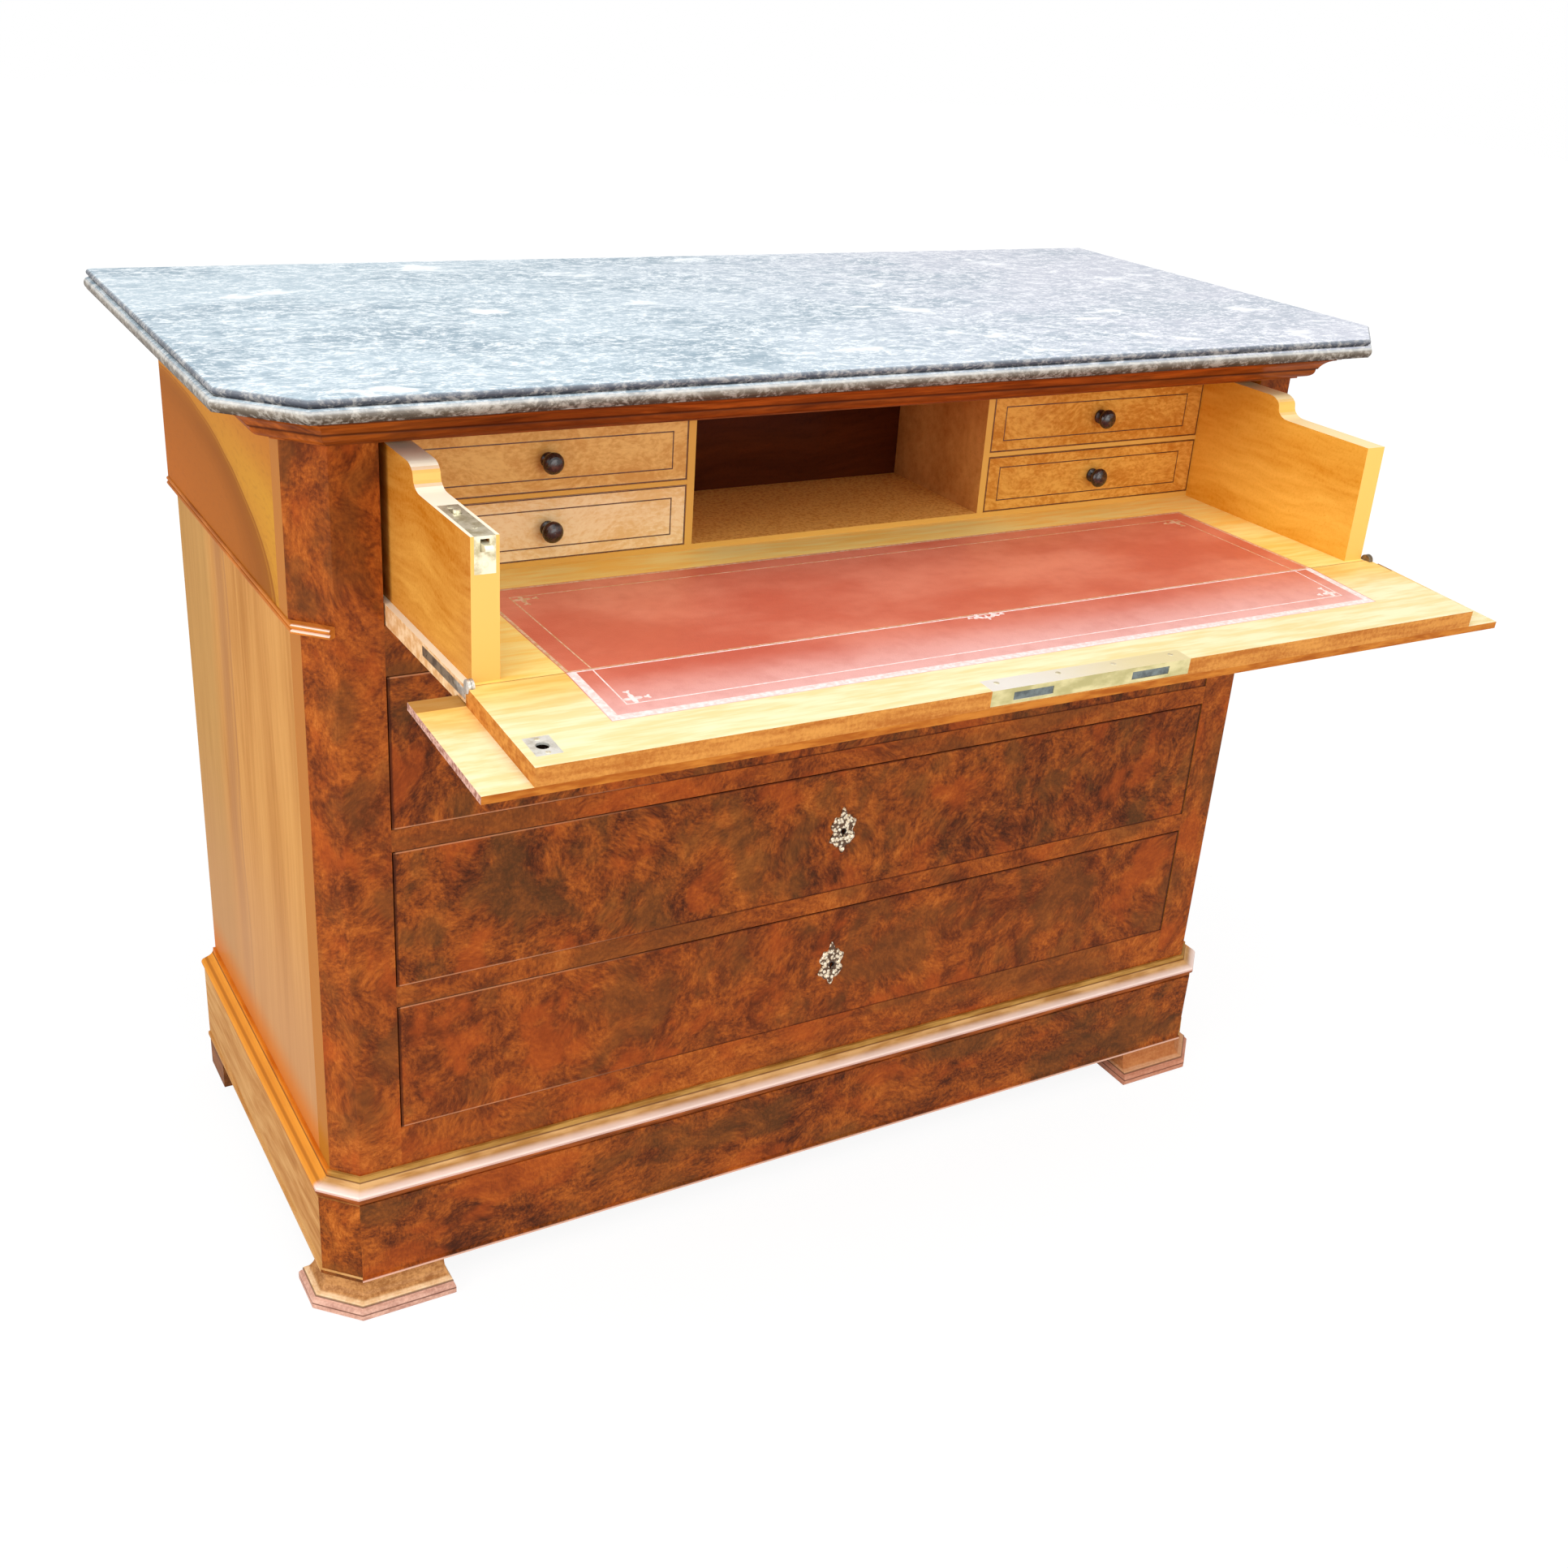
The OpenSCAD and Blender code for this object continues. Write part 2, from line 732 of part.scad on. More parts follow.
// Sliding bolt of the catch: a bar whose bevelled nose holds the fall, and a button
module catch_bolt() {
    h = catch_bar / 2;
    color("gold") at_secretary() mirror([1, 0, 0]) translate([catch_x, side_front_y, catch_z]) {
        along_x([
            [-catch_reach, h - 2], [-catch_reach + 2, h], [catch_len - 2, h],
            [catch_len - 2, -h], [-1, -h], [-catch_reach, h - 4]], -h, h);
        translate([0, catch_button_y, h]) cylinder(r = catch_button_r, h = hinge_z + side_low_h + 3 - catch_z - h);
    }
}

module secretary_back() {
    color("orange") at_secretary()
        block([-half_nest, nest_back_y, hinge_z], [half_nest, secretary_end_y, nest_top_z]);
}

// Nest: floor, top, two partitions and the two shelves between the small drawers
module nest_case() {
    color("gold") at_secretary() {
        block([-half_nest, nest_y, hinge_z], [half_nest, nest_back_y, hinge_z + nest_floor_t]);
        block([-half_nest, nest_y, nest_top_z - shelf_t], [half_nest, nest_back_y, nest_top_z]);
        both_sides() {
            block(
                [half_pigeonhole, nest_y, hinge_z + nest_floor_t + glue],
                [drawer_bay_x, nest_back_y, nest_top_z - shelf_t - glue]);
            block([drawer_bay_x + glue, nest_y, bay_roof[1]], [half_nest, nest_back_y, bay_floor[0]]);
        }
    }
}

// Lock cavity of the fall: the sliding bar, its travel and the two bolt heads
module fall_lock_space(over) {
    translate([fall_lock_x, fall_bolt_y, fall_top_z]) {
        block(
            [-fall_bolt_spread - fall_bolt_w / 2 - over, -over, -fall_lock_h - over],
            [fall_bolt_spread + fall_bolt_w / 2 + over, fall_bolt_t + over, -fall_plate_t]);
        for (side = [-1, 1])
            translate([side * fall_bolt_spread, 0, 0])
                block([-fall_bolt_w / 2 - over, -over, -fall_lock_h], [fall_bolt_w / 2 + over, fall_bolt_t + over, 1]);
    }
}

// Plates of the fall's lock: one on the inner face and one on the upper edge
module fall_lock_shape(over) {
    translate([fall_lock_x, 0, fall_top_z]) {
        block([-fall_lock_w / 2, 1, -fall_plate_t], [fall_lock_w / 2, hinge_y + over, over]);
        block([-fall_lock_w / 2, hinge_y - fall_plate_t, -fall_lock_h], [fall_lock_w / 2, hinge_y + over, -fall_plate_t]);
    }
}

module key_channel(x, z, y0, y1, r = 3) {
    translate([x, y0, z]) rotate([-90, 0, 0]) cylinder(r = r, h = y1 - y0);
    block([x - r / 2, y0, z - 3 * r], [x + r / 2, y1, z]);
}

module fall_core() {
    color("orange") at_fall() difference() {
        block([-half_bed, core_front_y, hinge_z + joint_gap / 2], [half_bed, hinge_y, fall_top_z]);
        leather_fall_block(0);
        both_sides() fall_strap();
        both_sides() bed_eye_clearance();
        fall_lock_shape(1);
        fall_lock_space(bolt_gap);
        key_channel(fall_lock_x, fall_top_z - fall_key_drop, core_front_y - 1, fall_bolt_y + fall_bolt_t);
        mirror([1, 0, 0]) strike_shape(1, strike_t);
        mirror([1, 0, 0]) translate([catch_x, hinge_y + 1, catch_z]) rotate([90, 0, 0])
            cylinder(r = 6, h = catch_bite + 4);
    }
}

// Room in the end of the core for the two eyes
module bed_eye_clearance() {
    translate([fall_eye_x, hinge_y, hinge_z]) rotate([0, 90, 0])
        cylinder(r = eye_r + 0.4, h = 2 * strap_t + 1);
}

module leather_fall_block(down) {
    block(
        [-leather_w / 2, hinge_y - leather_t, hinge_z + joint_gap / 2 - (down > 0 ? 0 : 1)],
        [leather_w / 2, hinge_y - down + (down > 0 ? 0 : 1), hinge_z + leather_fall_len]);
}

module fall_leather() {
    color("firebrick") at_fall() leather_fall_block(0.1);
}

module fall_face() {
    color("sienna") at_fall() difference() {
        block([-half_face, core_front_y - face_t, face_z], [half_face, core_front_y, fall_top_z]);
        key_channel(fall_lock_x, fall_top_z - fall_key_drop, core_front_y - face_t - 1, core_front_y + 1);
    }
}

// Hinge strap in a saw kerf in the end of the core
module fall_strap() {
    block(
        [fall_eye_x, hinge_y - 12, hinge_z + joint_gap / 2],
        [fall_eye_x + strap_t, hinge_y - 3, hinge_z + fall_strap_len]);
}

module fall_hinge_straps() {
    color("dimgray") at_fall() both_sides() difference() {
        union() {
            fall_strap();
            translate([fall_eye_x, hinge_y, hinge_z]) rotate([0, 90, 0]) cylinder(r = eye_r, h = strap_t);
        }
        translate([fall_eye_x - 1, hinge_y, hinge_z]) rotate([0, 90, 0])
            cylinder(r = hinge_pin_r + 0.15, h = strap_t + 2);
    }
}

module fall_lock() {
    color("gold") at_fall() difference() {
        fall_lock_shape(0);
        fall_lock_space(bolt_gap);
    }
}

// Bar with two heads that shoot into the top rail
module fall_lock_bolts() {
    top = fall_top_z - 0.5;
    reach = fall_bolt_spread + fall_bolt_w / 2;
    color("darkgoldenrod") at_fall() translate([fall_lock_x, fall_bolt_y, 0]) {
        block([-reach, 0, fall_top_z - fall_lock_h], [reach, fall_bolt_t, fall_top_z - fall_lock_h + fall_bar_h]);
        for (side = [-1, 1])
            translate([side * fall_bolt_spread, 0, 0])
                block([-fall_bolt_w / 2, 0, fall_top_z - fall_lock_h + fall_bar_h], [fall_bolt_w / 2, fall_bolt_t, top]);
    }
}

module strike_shape(over, deep) {
    translate([catch_x, hinge_y, catch_z])
        block([-strike_w / 2, -deep, -strike_h / 2], [strike_w / 2, over, strike_h / 2]);
}

module catch_strike() {
    color("gold") at_fall() mirror([1, 0, 0]) difference() {
        strike_shape(0, strike_t);
        translate([catch_x, hinge_y + 1, catch_z]) rotate([90, 0, 0]) cylinder(r = 5.5, h = strike_t + 2);
    }
}

// Leafy outline of an escutcheon: a long oval with scrolled lobes
function escutcheon_outline() = [
    for (i = [0:47]) let (
        a = i * 7.5,
        lobe = 1 + 0.11 * cos(6 * a) + 0.07 * cos(10 * a)
    ) [escutcheon_w / 2 * lobe / 1.18 * sin(a), escutcheon_h / 2 * lobe / 1.18 * cos(a)]];

module escutcheon(x, y, z) {
    difference() {
        translate([x, y, z]) rotate([90, 0, 0]) linear_extrude(escutcheon_t) polygon(escutcheon_outline());
        key_channel(x, z, y - escutcheon_t - 1, y + 1, 2.4);
    }
}

module fall_escutcheon() {
    color("gold") at_fall()
        escutcheon(fall_lock_x, core_front_y - face_t, fall_top_z - fall_key_drop);
}

// Long drawers. i counts them from the top
module long_front(i) {
    z0 = long_z[i] + slide_gap;
    z1 = long_z[i] + long_h[i] - front_gap;
    half = half_open - front_gap;
    color("sienna") at_body() difference() {
        block([-half, 0, z0], [half, front_t, z1]);
        long_front_tails(i, glue);
        lock_shape(i, 1);
        key_channel(0, lock_z(i), -1, front_t);
    }
}

function lock_z(i) = long_z[i] + long_h[i] / 2;
function lock_top(i) = long_z[i] + long_h[i] - front_gap;
function box_h(i) = long_h[i] - front_gap - box_drop - slide_gap;

module long_front_tails(i, grow = 0) {
    half = half_open - front_gap;
    both_sides() translate([half - box_t, front_t + glue, long_z[i] + slide_gap]) mirror([0, 1, 0])
        tails(box_h(i), tail_len, box_t, tail_count, grow);
}

module long_back_tails(i, grow = 0) {
    half = half_open - front_gap;
    both_sides() translate([half - box_t, long_back_y - glue, long_z[i] + slide_gap])
        tails(box_h(i), box_t, box_t, tail_count, grow);
}

// Sides dovetailed into the front and the back, with the bottom in their grooves
module long_box(i) {
    half = half_open - front_gap;
    z0 = long_z[i] + slide_gap;
    color("burlywood") at_body() {
        difference() {
            union() {
                both_sides()
                    block([half - box_t, front_t + glue, z0], [half, long_back_y - glue, z0 + box_h(i)]);
                long_front_tails(i);
                long_back_tails(i);
            }
            long_bottom(i, glue);
        }
        difference() {
            block([-half, long_back_y, z0], [half, long_back_y + box_t, z0 + box_h(i)]);
            long_back_tails(i, glue);
        }
        long_bottom(i, 0);
    }
}

// Bottom board of a long drawer. With grow it is the groove that the board fills
module long_bottom(i, grow) {
    half = half_open - front_gap - box_t + groove_d;
    z = long_z[i] + slide_gap + groove_rise;
    block(
        [-half - grow, front_t + glue - grow, z - grow],
        [half + grow, long_back_y - glue + grow, z + box_bottom_t + grow]);
}

module lock_shape(i, over) {
    top = lock_top(i);
    block([-lock_w / 2, front_t - lock_t, lock_z(i) - 20], [lock_w / 2, front_t + over, top - 2]);
    block([-lock_w / 2, front_t - lock_t - 6, top - 2], [lock_w / 2, front_t + over, top + over]);
}

module long_lock(i) {
    top = lock_top(i);
    y0 = front_t - lock_t + 2;
    color("gold") at_body() {
        difference() {
            lock_shape(i, 0);
            block(
                [-bolt_w / 2 - bolt_gap, y0 - bolt_gap, top - 30],
                [bolt_w / 2 + bolt_gap, y0 + bolt_t + bolt_gap, top + 1]);
            key_channel(0, lock_z(i), -1, front_t - 2);
        }
        escutcheon(0, 0, lock_z(i));
    }
}

module long_bolt(i) {
    top = lock_top(i);
    y0 = front_t - lock_t + 2;
    color("darkgoldenrod") at_body() block([-bolt_w / 2, y0, top - 29.5], [bolt_w / 2, y0 + bolt_t, top - 0.5]);
}

module upper_drawer_front() { long_front(0); }
module upper_drawer_box() { long_box(0); }
module upper_drawer_lock() { long_lock(0); }
module upper_drawer_bolt() { long_bolt(0); }
module middle_drawer_front() { long_front(1); }
module middle_drawer_box() { long_box(1); }
module middle_drawer_lock() { long_lock(1); }
module middle_drawer_bolt() { long_bolt(1); }
module lower_drawer_front() { long_front(2); }
module lower_drawer_box() { long_box(2); }
module lower_drawer_lock() { long_lock(2); }
module lower_drawer_bolt() { long_bolt(2); }

// Small drawer in the right or, mirrored, the left bay. row 0 is the upper one
module nest_drawer(row, side) {
    x0 = drawer_bay_x + small_gap;
    x1 = half_nest - small_gap;
    z0 = bay_floor[row] + slide_gap;
    z1 = bay_roof[row] - small_gap;
    y0 = nest_y;
    y1 = nest_back_y - 6;
    top = z1 - 3;
    floor_z = z0 + 3;
    color("gold") at_secretary() mirror([side < 0 ? 1 : 0, 0, 0]) {
        difference() {
            block([x0, y0, z0], [x1, y0 + small_front_t, z1]);
            translate([(x0 + x1) / 2, y0 - 1, (z0 + z1) / 2]) rotate([-90, 0, 0])
                cylinder(d = knob_d / 4, h = small_front_t + 2);
        }
        difference() {
            union() {
                block([x0, y0 + small_front_t + glue, z0], [x0 + small_t, y1, top]);
                block([x1 - small_t, y0 + small_front_t + glue, z0], [x1, y1, top]);
            }
            small_floor(x0, x1, y0, y1, floor_z, glue);
        }
        block([x0 + small_t + glue, y1 - small_t, z0], [x1 - small_t - glue, y1, top]);
        small_floor(x0, x1, y0, y1, floor_z, 0);
    }
}

// Bottom board of a small drawer. With grow it is the groove that the board fills
module small_floor(x0, x1, y0, y1, z, grow) {
    block(
        [x0 + small_t / 2 - grow, y0 + small_front_t + glue - grow, z - grow],
        [x1 - small_t / 2 + grow, y1 - small_t - glue + grow, z + small_bottom_t + grow]);
}

// Turned knob with a collar and a shank through the drawer front
module nest_knob(row, side) {
    r = knob_d / 2;
    x = (drawer_bay_x + half_nest) / 2;
    z = (bay_floor[row] + slide_gap + bay_roof[row] - small_gap) / 2;
    color("black") at_secretary() mirror([side < 0 ? 1 : 0, 0, 0])
        translate([x, nest_y, z]) rotate([90, 0, 0]) {
            rotate_extrude() polygon(concat(
                [[0, 0], [r * 0.72, 0], [r * 0.72, 2], [r * 0.45, 4], [r * 0.4, knob_len * 0.4]],
                arc(0, knob_len * 0.68, r, knob_len * 0.32, -40, 90, 9)));
            translate([0, 0, -small_front_t - 1]) cylinder(d = knob_d / 4, h = small_front_t + 1);
        }
}

module nest_drawer_upper_left() { nest_drawer(0, -1); }
module nest_drawer_lower_left() { nest_drawer(1, -1); }
module nest_drawer_upper_right() { nest_drawer(0, 1); }
module nest_drawer_lower_right() { nest_drawer(1, 1); }
module nest_knob_upper_left() { nest_knob(0, -1); }
module nest_knob_lower_left() { nest_knob(1, -1); }
module nest_knob_upper_right() { nest_knob(0, 1); }
module nest_knob_lower_right() { nest_knob(1, 1); }

marble_top();
cornice_front();
cornice_cants();
cornice_returns();
top_board();
top_rail();
left_stile();
right_stile();
left_side();
right_side();
frieze_sides();
frieze_beads();
secretary_rail();
drawer_rails();
drawer_runners();
back_panel();
bottom_board();
plinth_front();
plinth_returns();
plinth_moulding();
front_feet();
rear_feet();
writing_bed();
bed_leather();
secretary_left_side();
secretary_right_side();
secretary_back();
nest_case();
bed_hinge_straps();
catch_plate();
catch_bolt();
fall_core();
fall_face();
fall_leather();
fall_lock();
fall_lock_bolts();
fall_escutcheon();
catch_strike();
fall_hinge_straps();
nest_drawer_upper_left();
nest_knob_upper_left();
nest_drawer_lower_left();
nest_knob_lower_left();
nest_drawer_upper_right();
nest_knob_upper_right();
nest_drawer_lower_right();
nest_knob_lower_right();
upper_drawer_front();
upper_drawer_box();
upper_drawer_lock();
upper_drawer_bolt();
middle_drawer_front();
middle_drawer_box();
middle_drawer_lock();
middle_drawer_bolt();
lower_drawer_front();
lower_drawer_box();
lower_drawer_lock();
lower_drawer_bolt();
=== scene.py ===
import json
from math import asin, cos, exp, pi, radians, sin

import bmesh
import bpy
from mathutils import Matrix, Vector


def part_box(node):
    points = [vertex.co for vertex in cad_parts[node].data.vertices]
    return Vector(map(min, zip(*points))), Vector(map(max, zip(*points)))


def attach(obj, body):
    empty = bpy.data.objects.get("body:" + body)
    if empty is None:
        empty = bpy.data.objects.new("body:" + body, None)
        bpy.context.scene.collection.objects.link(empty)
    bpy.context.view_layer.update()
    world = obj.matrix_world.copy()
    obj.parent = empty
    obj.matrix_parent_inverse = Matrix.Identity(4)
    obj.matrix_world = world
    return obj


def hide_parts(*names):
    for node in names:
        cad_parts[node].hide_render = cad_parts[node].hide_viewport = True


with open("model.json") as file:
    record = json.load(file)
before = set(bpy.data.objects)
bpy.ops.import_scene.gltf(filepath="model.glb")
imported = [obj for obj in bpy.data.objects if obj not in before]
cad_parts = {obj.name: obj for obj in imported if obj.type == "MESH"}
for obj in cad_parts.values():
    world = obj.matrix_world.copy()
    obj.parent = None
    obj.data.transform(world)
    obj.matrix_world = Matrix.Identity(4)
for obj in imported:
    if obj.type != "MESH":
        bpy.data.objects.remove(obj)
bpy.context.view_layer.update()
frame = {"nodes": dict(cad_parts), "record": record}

MM = 0.001


def rgb(red, green, blue):
    """A colour as a screen shows it, 0 to 255, turned into the shader's own scale."""
    channels = (red / 255, green / 255, blue / 255)
    return tuple(c / 12.92 if c <= 0.04045 else ((c + 0.055) / 1.055) ** 2.4 for c in channels)


def between(first, second):
    """The colour halfway between two."""
    return tuple((a + b) / 2 for a, b in zip(first, second))


class Plane:
    """A flat face to work on: u and v lie in it, and h stands out of it."""

    def __init__(self, origin, u, v, h):
        self.origin, self.u, self.v, self.h = (Vector(a) for a in (origin, u, v, h))

    def at(self, u, v, h=0.0):
        return self.origin + self.u * u + self.v * v + self.h * h

    def raised(self, height):
        """The same plane, moved out along h."""
        return Plane(self.at(0, 0, height), self.u, self.v, self.h)

    def spread(self, node):
        """The lowest and the highest u, v and h of a CAD node."""
        places = [corner.co - self.origin for corner in frame["nodes"][node].data.vertices]
        spans = [[place.dot(way) for place in places] for way in (self.u, self.v, self.h)]
        return Vector(map(min, spans)), Vector(map(max, spans))

    def reach(self, finish):
        """How far along v a point of the surface lies, for a finish."""
        return (finish.point - tuple(self.origin)).dot(self.v)

    def distance(self, finish, u, v):
        """How far a point of the surface lies from the line that stands on u, v."""
        away = finish.point - tuple(self.at(u, v))
        across, along = away.dot(self.u), away.dot(self.v)
        return (across * across + along * along).power(0.5)

    def faces_out(self, finish):
        """1 where a finish's surface faces out of the plane and 0 where it doesn't."""
        return finish.facing.dot(self.h).step(0.72, 0.95)


def front_face(y):
    """The upright plane at y that looks to the front."""
    return Plane((0, y, 0), (1, 0, 0), (0, 0, 1), (0, -1, 0))


def top_face(z, y=0.0):
    """The level plane at z, with v counted backwards from y."""
    return Plane((0, y, z), (1, 0, 0), (0, 1, 0), (0, 0, 1))


def escutcheon_seats():
    """Where the escutcheons sit: {name: (plane, u, v)}."""
    seats = {}
    for name in ("upper", "middle", "lower"):
        low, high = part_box(name + "_drawer_front")
        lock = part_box(name + "_drawer_lock")
        across, up = (lock[0].x + lock[1].x) / 2, (low.z + high.z + 0.8 * MM) / 2
        seats[name] = front_face(low.y), across, up
    low, high = FALL.spread("fall_escutcheon")
    under = Plane(FALL.at(0, 0, high.z), FALL.u, FALL.v, -FALL.h)
    seats["fall"] = under, (low.x + high.x) / 2, (low.y + high.y) / 2
    return seats


def open_fall():
    """The writing side of the lowered fall, with v running from the hinge to the front."""
    hinge = next(j for j in frame["record"]["behaviour"]["joints"] if j["name"] == "fall_hinge")
    droop = radians(hinge["range_deg"][1] - 90)
    return Plane(hinge["pos_m"], (1, 0, 0), (0, -cos(droop), -sin(droop)),
                 (0, -sin(droop), cos(droop)))


FALL = open_fall()


# Shader maths

class Value:
    """A shader socket that takes part in sums as a number or a point would."""

    def __init__(self, graph, socket):
        self.graph = graph
        self.socket = socket

    def out(self, name):
        """Another output of the same node."""
        return Value(self.graph, self.socket.node.outputs[name])

    def maths(self, operation, *terms):
        spatial = any(isinstance(t, tuple) or
                      isinstance(t, Value) and t.socket.type in {"VECTOR", "RGBA"}
                      for t in terms)
        kind = "ShaderNodeVectorMath" if spatial else "ShaderNodeMath"
        return self.graph.node(kind, {"operation": operation}, dict(enumerate(terms)))

    def __add__(self, other):
        return self.maths("ADD", self, other)

    __radd__ = __add__

    def __sub__(self, other):
        return self.maths("SUBTRACT", self, other)

    def __rsub__(self, other):
        return self.maths("SUBTRACT", other, self)

    def __mul__(self, other):
        return self.maths("MULTIPLY", self, other)

    __rmul__ = __mul__

    def __truediv__(self, other):
        return self.maths("DIVIDE", self, other)

    def __abs__(self):
        return self.maths("ABSOLUTE", self)

    def power(self, exponent):
        return self.maths("POWER", self, exponent)

    def dot(self, other):
        return self.maths("DOT_PRODUCT", self, tuple(other))

    def larger(self, other):
        return self.maths("MAXIMUM", self, other)

    def smaller(self, other):
        return self.maths("MINIMUM", self, other)

    def near(self, middle, edge, core):
        """1 within core of the middle, 0 from edge on, and a smooth step between them."""
        return abs(self - middle).step(edge, core)

    def step(self, low, high):
        """0 at low, 1 at high, and a smooth step between them."""
        return self.span({"From Min": low, "From Max": high})

    def span(self, limits):
        """The value carried smoothly from one range to another."""
        return self.graph.node("ShaderNodeMapRange", {"interpolation_type": "SMOOTHSTEP"},
                               {"Value": self} | limits)


class Graph:
    """The node tree of a material or a world."""

    def __init__(self, owner):
        owner.use_nodes = True
        self.tree = owner.node_tree
        self.tree.nodes.clear()

    def node(self, kind, settings=None, inputs=None):
        """A new node's first output. The setting "stops" is {place: colour} for a ramp."""
        node = self.tree.nodes.new(kind)
        for name, value in (settings or {}).items():
            if name == "stops":
                elements = node.color_ramp.elements
                for place in list(value)[1:-1]:
                    elements.new(place)
                for element, (place, colour) in zip(elements, value.items()):
                    element.position, element.color = place, (*colour, 1)
            else:
                setattr(node, name, value)
        for name, value in (inputs or {}).items():
            self.feed(node.inputs[name], value)
        return Value(self, next((o for o in node.outputs if o.enabled), None))

    def feed(self, socket, value):
        if isinstance(value, Value):
            self.tree.links.new(value.socket, socket)
        elif socket.type == "VECTOR" and not isinstance(value, (tuple, Vector)):
            socket.default_value = (value, value, value)
        elif socket.type == "RGBA" and len(value) == 3:
            socket.default_value = (*value, 1)
        else:
            socket.default_value = value

    def end(self, ending, share, first, second):
        """Ends the tree in a mixture of two shaders."""
        mixed = self.node("ShaderNodeMixShader", None, {0: share, 1: first, 2: second})
        self.node(ending, None, {"Surface": mixed})


class Finish(Graph):
    """One procedural material, worked out from the place and the facing of the surface.
    leaf is the place in the wood or the stone that the piece was cut from."""

    def __init__(self, name, constants, leaf=(0, 0, 0)):
        self.material = bpy.data.materials.new(name)
        super().__init__(self.material)
        self.constants = constants
        place = self.node("ShaderNodeTexCoord")
        self.point, self.facing = place.out("Object"), place.out("Normal")
        self.leaf = self.point + leaf
        self.x, self.y, self.z = self.axes(self.point)
        self.right, self.back, self.up = self.axes(self.facing)

    def noise(self, point, scale, detail, roughness=0.5):
        return self.node("ShaderNodeTexNoise", None, {
            "Vector": point, "Scale": scale, "Detail": detail, "Roughness": roughness})

    def stray(self, point, scale, reach, detail=1):
        """The point, moved about by noise as the grain or the stone has flowed."""
        return point + (self.noise(point, scale, detail).out("Color") - 0.5) * reach

    def cells(self, point, scale):
        return self.node("ShaderNodeTexVoronoi", None, {"Vector": point, "Scale": scale})

    def ramp(self, value, stops):
        """The colour at a value, from {value: colour} in rising order."""
        return self.node("ShaderNodeValToRGB", {"stops": stops}, {"Fac": value})

    def mix(self, share, first, second):
        """The first colour where the share is 0 and the second where it is 1."""
        mixed = self.node("ShaderNodeMix", {"data_type": "RGBA"},
                          {0: share, 6: first, 7: second})
        return mixed.out("Result")

    def axes(self, point):
        parts = self.node("ShaderNodeSeparateXYZ", None, {0: point})
        return [parts.out(axis) for axis in "XYZ"]

    def paint(self, colour, roughness, height=None, depth_mm=0.0):
        """Colour and roughness over the surface, and a relief of the given depth."""
        sockets = self.constants | {"Base Color": colour, "Roughness": roughness}
        if height is not None:
            sockets["Normal"] = self.node(
                "ShaderNodeBump", None, {"Distance": depth_mm * MM, "Height": height})
        shader = self.node("ShaderNodeBsdfPrincipled", None, sockets)
        self.node("ShaderNodeOutputMaterial", None, {"Surface": shader})
        return self.material


POLISH = {"Coat Weight": 0.15, "Coat Roughness": 0.16, "Specular IOR Level": 0.0}
SATIN = {"Coat Weight": 0.10, "Coat Roughness": 0.22, "Specular IOR Level": 0.0}
WAXED = {"Coat Weight": 0.12, "Coat Roughness": 0.35, "Specular IOR Level": 0.0}
STONE = {"Coat Weight": 0.25, "Coat Roughness": 0.12, "Specular IOR Level": 0.0}


# Woods. ACROSS, DEEP and UP draw a pattern out along x, y or z, as the grain runs.

ACROSS = (0.12, 1.0, 1.0)
DEEP = (1.0, 0.12, 1.0)
UP = (1.0, 1.0, 0.12)


def burr(f, leaf, light=0.0, sweep=(1.0, 1.0, 1.0), red=0.0):
    """Colour, cloud and grit of burr walnut. leaf is the place on the burr that the veneer
    was cut from, light moves it towards the pale sapwood, sweep draws its figure out and
    red warms it."""
    point = f.point + leaf
    swirl = f.stray(point, 6.5, 0.11, 2)
    cloud = f.noise(swirl * sweep, 13, 3, 0.55)
    flame = f.noise(swirl * sweep, 44, 5, 0.65)
    grit = f.noise(swirl, 240, 4, 0.7)
    hue = f.noise(point * sweep + (5.3, 3.1, 1.7), 13, 3, 0.6)
    middle, contrast = 0.52, 1.55
    figure = cloud * 0.26 + flame * 0.43 + grit * 0.35
    figure = (figure - middle) * contrast + (middle + light)
    wood = f.ramp(figure, {
        0.34: rgb(70, 34, 18), 0.44: rgb(106, 51, 23), 0.53: rgb(140, 70, 27),
        0.62: rgb(168, 88, 32), 0.76: rgb(198, 114, 46)})
    olive = f.mix(hue.step(0.50, 0.64) * 0.55, wood, rgb(96, 62, 30))
    warm = f.mix((hue.step(0.48, 0.36) * 0.45 + red).smaller(1.0), olive, rgb(174, 77, 26))
    pores = f.noise(point * (900, 900, 120), 1, 1).step(0.60, 0.74) * 0.30
    return f.mix(pores, warm, rgb(70, 32, 14)), cloud, grit


